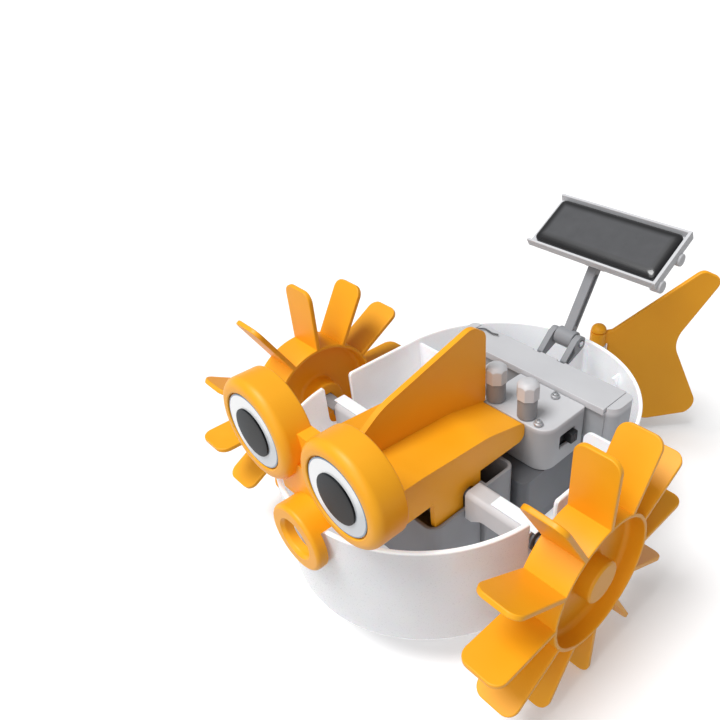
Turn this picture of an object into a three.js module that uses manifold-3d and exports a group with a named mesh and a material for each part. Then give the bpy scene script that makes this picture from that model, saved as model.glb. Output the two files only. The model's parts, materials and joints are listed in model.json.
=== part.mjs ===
// Fish-shaped solar and battery paddle robot: a floating hull with a geared axle, two paddle
// wheels, a fish face and back, a tail rudder and a tilting solar panel.
// Millimetres, +Z up, the face looks along -Y. The pieces are laid out in the hull's own frame,
// whose origin is the middle of the hull's underside; at the end the whole model is moved so
// that the origin is the bottom centre of its box.
import * as THREE from 'three';
import { mergeVertices } from 'three/addons/utils/BufferGeometryUtils.js';
import Module from 'manifold-3d';

const wasm = await Module();
wasm.setup();

// ---- driving dimensions -------------------------------------------------------------------

const gap = 0.3; // kept between pieces that touch
const hull = { radius: 58.5, straight: 22, height: 52, wall: 1.7, floor: 2, foot: 1.4 };
const axle = { y: -23, z: 37.2, radius: 2, hexFlats: 5.6 };
const wheel = {
  inner: 67.2, outer: 84.2, drum: 26.2, drumWall: 1.5, web: 2, boss: 8.1, tip: 52.8,
  blades: 12, bladeThick: 2, corner: 4.5, firstBlade: 90,
};
const eye = { x: 22.8, z: 76.2, front: -80.2, depth: 12, cup: 19.3, white: 14.1, pupil: 9 };
const mouth = { z: 45, outer: 13.2, hole: 7.2, front: -85, back: -80.9 };
const face = { plate: -76, rimGap: 52.5 };
const shell = { half: 22.4, wall: 2.3, front: -67.9, rear: 9.4, bottom: 44.5 };
const fin = { half: 1.3 };
const leg = { front: -41, rear: -16.5, bottom: 30, slot: 3.2 };
const housing = { half: 26.8, front: -18.1, step: -0.7, rear: 32.2, bottom: 2.3, top: 40, wall: 1.6 };
const tower = { half: 24.5, front: -44, top: 33 };
const sleeve = { start: 24.8, end: 55, half: 4.6, top: 42.2, bottom: 29, wall: 1.5 };
const clip = { start: 36, end: 57, half: 2.8, thick: 0.6 };
const motorBox = { left: -2.4, right: 33, front: 9.8, rear: 36, bottom: 31, top: 52, wall: 1.6 };
const cradle = { left: -2.4, right: 31.3, front: -0.3, rear: 35, top: 30.6, wall: 1.8 };
const motor = { y: 24, z: 40.9, left: 1.5, length: 25, width: 20, height: 15, shaft: 1 };
const post = { y: 14.2, xs: [2.6, 19.4], radius: 4.1, height: 9, cap: 4.75, capHeight: 7.8 };
const battery = { y: 46, z: 43.3, radius: 7, length: 50.5 };
const box = { half: 41.2, end: 45.8, front: 37.6, rear: 54.4, bottom: 34.4, top: 51.7, wall: 1.1 };
const lid = { front: 36.4, rear: 53.6, bottom: 52, top: 54, lip: 1.2 };
const yoke = { gapHalf: 4.8, plate: 3, pinY: 66, pinZ: 58, pin: 1.5 };
const tray = {
  y: 90, z: 98.2, tilt: 30, width: 68, depth: 30, plate: 1.6, lip: 2.8, lipThick: 1.5,
  pinAlong: -9.5, pinBelow: 5,
};
const cell = { left: -32, right: 32, depth: 25, height: 2.2 };
const tail = { y: 93, turn: 40, thick: 2.4, barrel: 4, barrelTop: 49.6, lugBottom: 37, lugTop: 42.4 };
const module_ = 0.8; // gear module
const teeth = { pinion: 12, oneBig: 30, oneSmall: 12, twoBig: 32, twoSmall: 12, axle: 30 };
const gearFace = 3;
const gearPlane = { first: -8, second: -12.5, third: -17 }; // low x of each pair of gears
const gearOneDrop = 9; // how far the first gear's centre lies below the motor's axis

// ---- colours ------------------------------------------------------------------------------

const plastic = (color, roughness) => ({ color, roughness, metalness: 0 });
const metal = (color, roughness) => ({ color, roughness, metalness: 0.9 });
const finish = {
  orange: plastic(0xf9a01b, 0.42),
  frosted: plastic(0xf2f4f5, 0.35),
  grey: plastic(0xc3c5c8, 0.45),
  midGrey: plastic(0x9a9da1, 0.45),
  darkGrey: plastic(0x5c5e62, 0.5),
  black: plastic(0x17181a, 0.4),
  cell: plastic(0x1b1c1f, 0.12),
  white: plastic(0xf6f8fa, 0.3),
  pupil: plastic(0x161b20, 0.25),
  gear: plastic(0xe8e6df, 0.4),
  steel: metal(0xb9bcc0, 0.3),
  brass: metal(0xc9a35a, 0.35),
  batteryWrap: plastic(0x2f8f4e, 0.3),
};

// ---- solids -------------------------------------------------------------------------------

const model = new THREE.Group();

function toSolid(geometry) {
  const bare = geometry.clone();
  bare.deleteAttribute('normal');
  bare.deleteAttribute('uv');
  const welded = mergeVertices(bare, 1e-4);
  return new wasm.Manifold(new wasm.Mesh({
    numProp: 3,
    vertProperties: new Float32Array(welded.attributes.position.array),
    triVerts: new Uint32Array(welded.index.array),
  }));
}

function toGeometry(solid) {
  const mesh = solid.getMesh();
  const geometry = new THREE.BufferGeometry();
  geometry.setAttribute('position', new THREE.BufferAttribute(mesh.vertProperties, 3));
  geometry.setIndex(new THREE.BufferAttribute(mesh.triVerts, 1));
  geometry.computeVertexNormals();
  return geometry;
}

const join = (first, ...rest) => rest.reduce((sum, solid) => sum.add(solid), first);
const cut = (first, ...rest) => rest.reduce((left, solid) => left.subtract(solid), first);

function addPiece(name, solid, look) {
  const geometry = solid.isBufferGeometry ? solid : toGeometry(solid);
  const mesh = new THREE.Mesh(geometry, new THREE.MeshStandardMaterial(look));
  mesh.name = name;
  model.add(mesh);
  return mesh;
}

function block(x0, x1, y0, y1, z0, z1) {
  const geometry = new THREE.BoxGeometry(x1 - x0, y1 - y0, z1 - z0);
  geometry.translate((x0 + x1) / 2, (y0 + y1) / 2, (z0 + z1) / 2);
  return toSolid(geometry);
}

// A shape drawn in (y, z), pushed along X.
const basisX = new THREE.Matrix4().makeBasis(
  new THREE.Vector3(0, 1, 0), new THREE.Vector3(0, 0, 1), new THREE.Vector3(1, 0, 0));
// A shape drawn in (x, z), pushed along -Y.
const basisY = new THREE.Matrix4().makeBasis(
  new THREE.Vector3(1, 0, 0), new THREE.Vector3(0, 0, 1), new THREE.Vector3(0, -1, 0));

function extrudeX(shape, x0, x1, curveSegments = 8) {
  const geometry = new THREE.ExtrudeGeometry(
    shape, { depth: x1 - x0, bevelEnabled: false, curveSegments });
  geometry.applyMatrix4(basisX).translate(x0, 0, 0);
  return toSolid(geometry);
}

function extrudeY(shape, y0, y1, curveSegments = 8) {
  const geometry = new THREE.ExtrudeGeometry(
    shape, { depth: y1 - y0, bevelEnabled: false, curveSegments });
  geometry.applyMatrix4(basisY).translate(0, y1, 0);
  return toSolid(geometry);
}

function extrudeZ(shape, z0, z1, curveSegments = 8) {
  const geometry = new THREE.ExtrudeGeometry(
    shape, { depth: z1 - z0, bevelEnabled: false, curveSegments });
  geometry.translate(0, 0, z0);
  return toSolid(geometry);
}

function rodX(radius, x0, x1, y, z, sides = 16) {
  const geometry = new THREE.CylinderGeometry(radius, radius, x1 - x0, sides);
  geometry.rotateZ(-Math.PI / 2).translate((x0 + x1) / 2, y, z);
  return toSolid(geometry);
}

function rodY(radius, y0, y1, x, z, sides = 16) {
  const geometry = new THREE.CylinderGeometry(radius, radius, y1 - y0, sides);
  geometry.translate(x, (y0 + y1) / 2, z);
  return toSolid(geometry);
}

function rodZ(radius, z0, z1, x, y, sides = 16) {
  const geometry = new THREE.CylinderGeometry(radius, radius, z1 - z0, sides);
  geometry.rotateX(Math.PI / 2).translate(x, y, (z0 + z1) / 2);
  return toSolid(geometry);
}

// A profile of (radius, height) points turned about the Z axis.
function turned(profile, sides = 32) {
  const points = profile.map(([radius, height]) => new THREE.Vector2(radius, height));
  const geometry = new THREE.LatheGeometry(points, sides);
  return geometry.rotateX(Math.PI / 2);
}

function polygon(points) {
  return new THREE.Shape(points.map(([a, b]) => new THREE.Vector2(a, b)));
}

function roundedRect(a0, a1, b0, b1, radius) {
  const corners = typeof radius === 'number' ? [radius, radius, radius, radius] : radius;
  const [lowLow, highLow, highHigh, lowHigh] = corners;
  const shape = new THREE.Shape();
  shape.moveTo(a0 + lowLow, b0);
  shape.lineTo(a1 - highLow, b0);
  if (highLow) shape.absarc(a1 - highLow, b0 + highLow, highLow, -Math.PI / 2, 0);
  shape.lineTo(a1, b1 - highHigh);
  if (highHigh) shape.absarc(a1 - highHigh, b1 - highHigh, highHigh, 0, Math.PI / 2);
  shape.lineTo(a0 + lowHigh, b1);
  if (lowHigh) shape.absarc(a0 + lowHigh, b1 - lowHigh, lowHigh, Math.PI / 2, Math.PI);
  shape.lineTo(a0, b0 + lowLow);
  if (lowLow) shape.absarc(a0 + lowLow, b0 + lowLow, lowLow, Math.PI, Math.PI * 1.5);
  return shape;
}

// ---- the hull -----------------------------------------------------------------------------

// A stack of stadium outlines, each given as [radius, height], closed at both ends.
function stadiumStack(levels, arcSteps = 12) {
  const positions = [];
  const outline = [];
  for (const [side, start] of [[1, 0], [-1, Math.PI]]) {
    for (let step = 0; step <= arcSteps; step += 1) {
      const angle = start + (step / arcSteps) * Math.PI;
      outline.push([Math.cos(angle), Math.sin(angle), side * hull.straight]);
    }
  }
  for (const [radius, height] of levels) {
    for (const [c, s, middle] of outline) positions.push(radius * c, middle + radius * s, height);
  }
  const count = outline.length;
  const faces = [];
  for (let level = 0; level < levels.length - 1; level += 1) {
    for (let i = 0; i < count; i += 1) {
      const a = level * count + i;
      const b = level * count + ((i + 1) % count);
      faces.push(a, b, b + count, a, b + count, a + count);
    }
  }
  const last = (levels.length - 1) * count;
  for (let i = 1; i < count - 1; i += 1) {
    faces.push(0, i + 1, i, last, last + i, last + i + 1);
  }
  const geometry = new THREE.BufferGeometry();
  geometry.setAttribute('position', new THREE.Float32BufferAttribute(positions, 3));
  geometry.setIndex(faces);
  return toSolid(geometry);
}

// The rounded lower edge of a stadium tub, as [radius, height] levels.
function roundedEdge(radius, edge, bottom, steps = 3) {
  const levels = [];
  for (let step = 0; step <= steps; step += 1) {
    const angle = (step / steps) * Math.PI / 2;
    levels.push([radius - edge + edge * Math.sin(angle), bottom + edge - edge * Math.cos(angle)]);
  }
  return levels;
}

function hullBowl() {
  const footRadius = hull.radius - 6;
  const outside = stadiumStack([
    [footRadius, 0], [footRadius + 1, hull.foot],
    ...roundedEdge(hull.radius - 0.6, 5, hull.foot),
    [hull.radius, hull.height],
  ]);
  const innerRadius = hull.radius - hull.wall;
  const inside = stadiumStack([
    ...roundedEdge(innerRadius - 0.6, 4, hull.floor),
    [innerRadius, hull.height + 1],
  ]);
  const tailLug = join(
    block(-3.2, 3.2, hull.radius + hull.straight - 1, tail.y, tail.lugBottom, tail.lugTop),
    rodZ(4.6, tail.lugBottom, tail.lugTop, 0, tail.y));
  const ribY = 25.5;
  const ribs = [1, -1].map((side) => block(
    side > 0 ? 40 : -(innerRadius + 0.5), side > 0 ? innerRadius + 0.5 : -40,
    ribY, ribY + 1.4, hull.floor - 0.5, hull.height - 3));
  const notchShape = new THREE.Shape();
  const notchHalf = 7.2;
  notchShape.moveTo(axle.y - notchHalf, hull.height + 2);
  notchShape.lineTo(axle.y - notchHalf, axle.z);
  notchShape.absarc(axle.y, axle.z, notchHalf, Math.PI, 2 * Math.PI);
  notchShape.lineTo(axle.y + notchHalf, hull.height + 2);
  const notches = [1, -1].map((side) => extrudeX(
    notchShape, side > 0 ? hull.radius - 6 : -hull.radius - 2,
    side > 0 ? hull.radius + 2 : -hull.radius + 6));
  const pinHole = rodZ(2.3, tail.lugBottom - 1, tail.lugTop + 1, 0, tail.y);
  return cut(join(cut(join(outside, tailLug), inside), ...ribs), ...notches, pinHole);
}

// ---- the inner chassis --------------------------------------------------------------------

function gearHousing() {
  const { half, front, step, rear, bottom, top, wall } = housing;
  const rearRight = -3;
  const outer = join(
    extrudeZ(roundedRect(-half, half, front, step, [1, 1, 4, 0]), bottom, top),
    extrudeZ(roundedRect(-half, rearRight, step - 6, rear, [0, 0, 2, 2]), bottom, top));
  const inner = join(
    block(-half + wall, half - wall, front + wall, step - wall, bottom + wall, top + 1),
    block(-half + wall, rearRight - wall, front + wall, rear - wall, bottom + wall, top + 1));
  const gearSlot = block(
    gearPlane.third - 1.5, gearPlane.second + gearFace + 1, front - 1, front + wall + 1, 15, top + 1);
  const slotWidth = shell.wall + 2 * gap; // room for the legs of the back
  const legSlots = [shell.half + gap - slotWidth, -shell.half - gap].map((start) => block(
    start, start + slotWidth, front - 1, leg.rear + gap, leg.bottom - gap, top + 1));
  const shaftHole = rodX(3.4, rearRight - wall - 1, rearRight + 1, motor.y, motor.z);
  return cut(outer, inner, gearSlot, shaftHole, ...legSlots);
}

function frontTower() {
  const wall = housing.wall;
  const rear = housing.front - gap;
  const shape = roundedRect(-tower.half, tower.half, tower.front, rear, [5, 5, 0, 0]);
  const inner = roundedRect(
    -tower.half + wall, tower.half - wall, tower.front + wall, rear + 2, [2, 2, 0, 0]);
  return cut(
    extrudeZ(shape, housing.bottom, tower.top),
    extrudeZ(inner, housing.bottom + wall, tower.top + 1));
}

// An arch over the axle, open below, with a wall round the bush at its outer end.
function axleSleeve(side) {
  const arch = (half, top) => {
    const shape = new THREE.Shape();
    const edge = Math.min(half - 0.2, 2.4);
    shape.moveTo(axle.y - half, sleeve.bottom);
    shape.lineTo(axle.y + half, sleeve.bottom);
    shape.lineTo(axle.y + half, top - edge);
    shape.absarc(axle.y + half - edge, top - edge, edge, 0, Math.PI / 2);
    shape.lineTo(axle.y - half + edge, top);
    shape.absarc(axle.y - half + edge, top - edge, edge, Math.PI / 2, Math.PI);
    return shape;
  };
  const x0 = side > 0 ? sleeve.start : -sleeve.end;
  const x1 = side > 0 ? sleeve.end : -sleeve.start;
  const outer = extrudeX(arch(sleeve.half, sleeve.top), x0, x1, 5);
  const inner = extrudeX(
    arch(sleeve.half - sleeve.wall, sleeve.top - sleeve.wall),
    x0 + sleeve.wall, x1 - sleeve.wall, 5);
  const under = block(
    x0 + sleeve.wall, x1 - sleeve.wall, axle.y - sleeve.half + sleeve.wall,
    axle.y + sleeve.half - sleeve.wall, sleeve.bottom - 1, sleeve.bottom + 1);
  return cut(outer, inner, under, rodX(3.6, x0 - 1, x1 + 1, axle.y, axle.z));
}

function motorCover() {
  const { left, right, front, rear, bottom, top, wall } = motorBox;
  const outer = extrudeZ(roundedRect(left, right, front, rear, [3, 7, 1, 1]), bottom, top);
  const inner = extrudeZ(
    roundedRect(left + wall, right - wall, front + wall, rear - wall, [1.5, 5.4, 0.5, 0.5]),
    bottom - 1, top - wall);
  const shaftHole = rodX(3.4, left - 1, left + wall + 1, motor.y, motor.z);
  const switchSlot = block(right - wall - 1, right + 1, 19.5, 29.5, 38.8, 45.2);
  return cut(outer, inner, shaftHole, switchSlot);
}

function motorCradle() {
  const { left, right, front, rear, top, wall } = cradle;
  return cut(
    extrudeZ(roundedRect(left, right, front, rear, [1, 4, 2, 1]), housing.bottom, top),
    extrudeZ(roundedRect(left + wall, right - wall, front + wall, rear - wall, [0, 2.5, 1, 0]),
      housing.bottom - 1, top - wall));
}

function batteryBox() {
  const { half, end, front, rear, bottom, top, wall } = box;
  const middle = block(-half, half, front, rear, bottom, top);
  const ends = [1, -1].map((side) => extrudeZ(
    side > 0 ? roundedRect(half - 1, end, front + 0.6, rear - 1.4, [0, 5, 3, 0])
      : roundedRect(-end, 1 - half, front + 0.6, rear - 1.4, [5, 0, 0, 3]),
    bottom, lid.top));
  const liftedLid = block(-half - 0.2, half + 0.2, front - 1, rear + 1, top, lid.top + 1);
  const hollow = block(
    -half + 8, half - 8, front + wall, rear - wall, bottom + 1.4, top + 1);
  return cut(join(middle, ...ends), liftedLid, hollow);
}

function batteryStand() {
  const outer = block(-30, 30, box.front + 1.4, box.rear - 1.4, housing.bottom, box.bottom - gap);
  const windows = [-18, 0, 18].map((x) => block(
    x - 7.5, x + 7.5, box.front, box.rear, housing.bottom - 1, box.bottom - 3));
  return cut(outer, ...windows);
}

function batteryLid() {
  const half = box.half - 0.1;
  const plate = block(-half, half, lid.front, lid.rear, lid.bottom, lid.top);
  const lip = block(-half, half, lid.front, lid.front + 1, lid.bottom - lid.lip, lid.top);
  return join(plate, lip);
}

function panelYoke() {
  const inner = yoke.gapHalf + gap;
  const plateShape = polygon([
    [box.rear + gap, 40], [box.rear + 2.3, 40], [box.rear + 2.3, 50.5],
    [yoke.pinY + 0.5, yoke.pinZ - 3.6], [yoke.pinY + 3, yoke.pinZ - 2],
    [yoke.pinY + 3, yoke.pinZ + 2], [yoke.pinY - 0.5, yoke.pinZ + 3.6],
    [yoke.pinY - 3.5, yoke.pinZ + 2.6], [box.rear + gap, 53.2],
  ]);
  const back = block(
    -inner - yoke.plate, inner + yoke.plate, box.rear + gap, box.rear + 2.3, 40, 51);
  const arms = [1, -1].map((side) => extrudeX(
    plateShape, side > 0 ? inner : -inner - yoke.plate, side > 0 ? inner + yoke.plate : -inner));
  const hole = rodX(yoke.pin + gap, -20, 20, yoke.pinY, yoke.pinZ);
  return cut(join(back, ...arms), hole);
}

// ---- the drive ----------------------------------------------------------------------------

// Straight-sided teeth round a root disc, with one tooth centred on the phase angle.
function gear(centre, count, phase, x0, x1) {
  const pitch = (2 * Math.PI) / count;
  const pitchRadius = (module_ * count) / 2;
  const tip = pitchRadius + 0.8 * module_;
  const root = pitchRadius - 1.1 * module_;
  const rootHalf = 0.28 * pitch * root;
  const tipHalf = 0.11 * pitch * tip;
  const tooth = extrudeX(polygon([
    [root - 0.4, -rootHalf], [tip, -tipHalf], [tip, tipHalf], [root - 0.4, rootHalf],
  ]), x0, x1);
  let solid = rodX(root, x0, x1, 0, 0, count);
  for (let index = 0; index < count; index += 1) {
    const angle = THREE.MathUtils.radToDeg(phase + index * pitch);
    solid = solid.add(tooth.rotate([angle, 0, 0]));
  }
  return solid.translate([0, ...centre]);
}

const distance = (first, second) => (module_ * (teeth[first] + teeth[second])) / 2;
const direction = (from, to) => Math.atan2(to[1] - from[1], to[0] - from[0]);
const facing = (angle, count) => angle + Math.PI + Math.PI / count;

const axleCentre = [axle.y, axle.z];
const motorCentre = [motor.y, motor.z];
const firstReach = distance('pinion', 'oneBig');
const oneCentre = [
  motor.y - Math.sqrt(firstReach ** 2 - gearOneDrop ** 2), motor.z - gearOneDrop];

// The lower of the two places that lie the right distances from both neighbours.
function betweenCentres(from, to, fromReach, toReach) {
  const span = Math.hypot(to[0] - from[0], to[1] - from[1]);
  const along = (fromReach ** 2 - toReach ** 2 + span ** 2) / (2 * span);
  const off = Math.sqrt(fromReach ** 2 - along ** 2);
  const unit = [(to[0] - from[0]) / span, (to[1] - from[1]) / span];
  return [from[0] + along * unit[0] - off * unit[1], from[1] + along * unit[1] + off * unit[0]];
}
const twoCentre = betweenCentres(
  oneCentre, axleCentre, distance('oneSmall', 'twoBig'), distance('twoSmall', 'axle'));

const pinionToOne = direction(motorCentre, oneCentre);
const oneToTwo = direction(oneCentre, twoCentre);
const twoToAxle = direction(twoCentre, axleCentre);

function motorPinion() {
  const x0 = gearPlane.first;
  return join(
    gear(motorCentre, teeth.pinion, pinionToOne, x0, x0 + gearFace),
    rodX(motor.shaft, x0, motor.left - gap, motor.y, motor.z, 16));
}

function gearOne() {
  const { first, second } = gearPlane;
  const meshing = facing(pinionToOne, teeth.oneBig);
  const big = gear(oneCentre, teeth.oneBig, meshing, first, first + gearFace);
  const small = gear(oneCentre, teeth.oneSmall, oneToTwo, second, first + 0.5);
  return cut(join(big, small), rodX(1.5, -40, 0, ...oneCentre, 16));
}

function gearTwo() {
  const { second, third } = gearPlane;
  const meshing = facing(oneToTwo, teeth.twoBig);
  const big = gear(twoCentre, teeth.twoBig, meshing, second, second + gearFace);
  const small = gear(twoCentre, teeth.twoSmall, twoToAxle, third, second + 0.5);
  return cut(join(big, small), rodX(1.5, -40, 0, ...twoCentre, 16));
}

function axleGear() {
  const x0 = gearPlane.third;
  const solid = join(
    gear(axleCentre, teeth.axle, facing(twoToAxle, teeth.axle), x0, x0 + gearFace),
    rodX(4, x0 - 2.5, x0 + gearFace + 1, axle.y, axle.z));
  return cut(solid, rodX(axle.radius + gap, -40, 0, axle.y, axle.z));
}

function hexRod(flats, x0, x1) {
  const radius = flats / Math.sqrt(3);
  return rodX(radius, x0, x1, axle.y, axle.z, 6);
}

function axleRod() {
  const hexStart = 57;
  const hexEnd = wheel.outer - 4;
  return join(
    rodX(axle.radius, -hexStart - 1, hexStart + 1, axle.y, axle.z),
    hexRod(axle.hexFlats, hexStart, hexEnd),
    hexRod(axle.hexFlats, -hexEnd, -hexStart));
}

function axleBush(side) {
  const x0 = side > 0 ? sleeve.end - 3 : -sleeve.end - 1.4;
  const x1 = x0 + 4.4;
  const flange = side > 0 ? [sleeve.end + gap, x1] : [x0, -sleeve.end - gap];
  return cut(
    join(rodX(3.3, x0, x1, axle.y, axle.z), rodX(4.4, ...flange, axle.y, axle.z)),
    rodX(axle.radius + gap, x0 - 1, x1 + 1, axle.y, axle.z));
}

function motorCan() {
  const { y, z, left, length, width, height } = motor;
  const body = extrudeX(
    roundedRect(y - width / 2, y + width / 2, z - height / 2, z + height / 2,
      height / 2 - 0.5), left, left + length, 8);
  return join(body, rodX(3, left + length - 0.5, left + length + 2, y, z));
}

function paddleWheel(side) {
  const middle = (wheel.inner + wheel.outer) / 2;
  const bore = wheel.drum - wheel.drumWall;
  const back = 1.2; // the boss stands out a little behind the drum
  const profile = [
    [0, wheel.inner - back], [wheel.boss, wheel.inner - back], [wheel.boss, middle - 1],
    [bore, middle - wheel.web / 2], [bore, wheel.inner], [wheel.drum, wheel.inner],
    [wheel.drum, wheel.outer], [bore, wheel.outer], [bore, middle + wheel.web / 2],
    [wheel.boss, middle + 1], [wheel.boss, wheel.outer], [0, wheel.outer],
  ];
  const drum = turned(profile, 36).rotateY(Math.PI / 2);
  drum.translate(0, axle.y, axle.z);
  const blade = extrudeY(
    roundedRect(wheel.inner, wheel.outer, wheel.drum - 1, wheel.tip,
      [0, 0, wheel.corner, wheel.corner]),
    -wheel.bladeThick / 2, wheel.bladeThick / 2, 2);
  let solid = toSolid(drum);
  for (let index = 0; index < wheel.blades; index += 1) {
    const angle = wheel.firstBlade - 90 + (360 / wheel.blades) * index;
    solid = solid.add(blade.rotate([angle, 0, 0]).translate([0, axle.y, axle.z]));
  }
  const right = cut(solid, hexRod(axle.hexFlats + 2 * gap, wheel.inner - 5, wheel.outer - 3.6));
  return side > 0 ? right : right.mirror([1, 0, 0]);
}

// ---- face, back and tail ------------------------------------------------------------------

function eyeCup(side) {
  const { cup, depth, front, white } = eye;
  const edge = 3;
  const profile = [[0, 0], [cup, 0]];
  for (let step = 0; step <= 3; step += 1) {
    const angle = (step / 3) * Math.PI / 2;
    profile.push([
      cup - edge + edge * Math.cos(angle), depth - edge + edge * Math.sin(angle)]);
  }
  profile.push([white + gap, depth], [white + gap, depth - 1.2], [0, depth - 1.2]);
  const geometry = turned(profile, 28).rotateX(Math.PI / 2);
  return toSolid(geometry.translate(side * eye.x, front + depth, eye.z));
}

function faceMask() {
  const cups = [1, -1].map(eyeCup);
  const back = eye.front + eye.depth;
  const { plate, rimGap } = face;
  const bridge = block(-8, 8, plate + 2, back, eye.z - 12, eye.z + 7);
  const nose = extrudeY(polygon([
    [-17, rimGap], [17, rimGap], [17, 60], [7, 71], [-7, 71], [-17, 60],
  ]), plate, back);
  const snout = rodY(mouth.outer, mouth.front, plate + 1, 0, mouth.z, 32);
  const overRim = block(-20, 20, mouth.back, plate + 2, mouth.z - 20, rimGap);
  const hole = rodY(mouth.hole, mouth.front - 1, mouth.back + 1, 0, mouth.z, 24);
  return join(cut(snout, overRim, hole), nose, bridge, ...cups);
}

// The top of the back drops in a long curve towards the tail.
function backOutline(inset) {
  const top = 60.4 - inset;
  const bottom = shell.bottom;
  const shape = new THREE.Shape();
  shape.moveTo(shell.front + inset, bottom - (inset ? 1 : 0));
  shape.lineTo(shell.rear - inset - (inset ? 0 : 2.6), bottom - (inset ? 1 : 0));
  if (!inset) shape.absarc(shell.rear - 2.6, bottom + 2.6, 2.6, -Math.PI / 2, 0);
  shape.lineTo(shell.rear - inset, bottom + 4.6 - inset * 0.4);
  shape.quadraticCurveTo(shell.rear - inset, top - 8, shell.rear - 4 - inset, top - 6);
  shape.quadraticCurveTo(-4, top - 1.6, -24, top - 1.1);
  shape.lineTo(-50, top);
  shape.lineTo(shell.front + inset, top);
  return shape;
}

function backShell() {
  const outer = extrudeX(backOutline(0), -shell.half, shell.half, 6);
  const inner = extrudeX(
    backOutline(shell.wall), -shell.half + shell.wall, shell.half - shell.wall, 6);
  const finShape = new THREE.Shape();
  finShape.moveTo(shell.front, 58.5);
  finShape.lineTo(shell.front, 61);
  finShape.quadraticCurveTo(-52, 76, -36, 82);
  finShape.quadraticCurveTo(-14, 88.2, 2, 90);
  finShape.quadraticCurveTo(8.6, 90, 9, 83);
  finShape.lineTo(10, 53);
  finShape.lineTo(6, 52.4);
  finShape.lineTo(-8, 56.4);
  finShape.lineTo(-30, 58.2);
  const finPlate = extrudeX(finShape, -fin.half, fin.half, 6);
  const legShape = roundedRect(leg.front, leg.rear, leg.bottom, shell.bottom + 3, [3, 1, 0, 0]);
  const legs = [1, -1].map((side) => extrudeX(
    legShape, side > 0 ? shell.half - shell.wall : -shell.half,
    side > 0 ? shell.half : shell.wall - shell.half, 4));
  const slot = block(
    -40, 40, axle.y - leg.slot, axle.y + leg.slot, leg.bottom - 1, axle.z + leg.slot);
  return cut(join(cut(outer, inner), finPlate, ...legs), slot);
}

// The forked tail, drawn as (distance behind the hinge, height) and turned to one side.
function tailFin() {
  const shape = new THREE.Shape();
  const { barrelTop, lugTop } = tail;
  shape.moveTo(2.5, lugTop + gap);
  shape.lineTo(2.5, barrelTop);
  shape.lineTo(7, barrelTop + 0.6);
  shape.lineTo(45, 77);
  shape.quadraticCurveTo(50, 79.6, 54.6, 75.2);
  shape.quadraticCurveTo(57, 72.4, 55.4, 68.6);
  shape.lineTo(43.6, 48.6);
  shape.quadraticCurveTo(38, 39.4, 42.4, 30.2);
  shape.lineTo(55.6, 7.6);
  shape.quadraticCurveTo(58.6, 0.6, 52.4, -4.4);
  shape.lineTo(32, -7);
  shape.quadraticCurveTo(14, -7, 9.6, 14);
  shape.lineTo(5.3, 36);
  shape.lineTo(5.3, lugTop + gap);
  const plate = extrudeX(shape, -tail.thick / 2, tail.thick / 2, 5);
  const barrel = rodZ(tail.barrel, lugTop + gap, barrelTop, 0, 0);
  const solid = cut(join(plate, barrel), rodZ(2.1, 30, 60, 0, 0));
  return solid.rotate([0, 0, -tail.turn]).translate([0, tail.y, 0]);
}

function tailPin() {
  const head = [[0, 0], [3.8, 0], [3.8, 2.2]];
  for (let step = 1; step <= 5; step += 1) {
    const angle = (step / 5) * Math.PI / 2;
    head.push([3.8 * Math.cos(angle), 2.2 + 2.1 * Math.sin(angle)]);
  }
  head[head.length - 1][0] = 0;
  const dome = toSolid(turned(head, 24).translate(0, tail.y, tail.barrelTop + gap));
  return join(dome, rodZ(1.8, tail.lugBottom - 1.5, tail.barrelTop + 1, 0, tail.y, 20));
}

// ---- the solar panel ----------------------------------------------------------------------

const tilt = THREE.MathUtils.degToRad(tray.tilt);
// A place given along the tray's depth and above its plate, as [y, z].
const onTray = (along, above) => [
  tray.y + along * Math.cos(tilt) - above * Math.sin(tilt),
  tray.z + along * Math.sin(tilt) + above * Math.cos(tilt)];
const trayPinCentre = onTray(tray.pinAlong, -tray.pinBelow);
const tilted = (solid) => solid.rotate([tray.tilt, 0, 0]).translate([0, tray.y, tray.z]);

function solarArm() {
  const half = 2.3;
  const [topY, topZ] = trayPinCentre;
  const lean = Math.atan2(topY - yoke.pinY, topZ - yoke.pinZ);
  const length = Math.hypot(topY - yoke.pinY, topZ - yoke.pinZ);
  const bar = block(-half, half, -2.2, 2.2, 1, length - 1);
  const groove = block(half - 1.2, half + 1, -1.1, 1.1, 7, length - 7);
  const foot = rodX(4.3, -yoke.gapHalf, yoke.gapHalf, 0, 0);
  const head = rodX(2.9, -half, half, 0, length);
  const holes = join(
    rodX(yoke.pin + gap, -20, 20, 0, 0), rodX(1 + gap, -20, 20, 0, length));
  const upright = cut(join(bar, foot, head), groove, holes);
  return upright.rotate([-THREE.MathUtils.radToDeg(lean), 0, 0])
    .translate([0, yoke.pinY, yoke.pinZ]);
}

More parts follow.
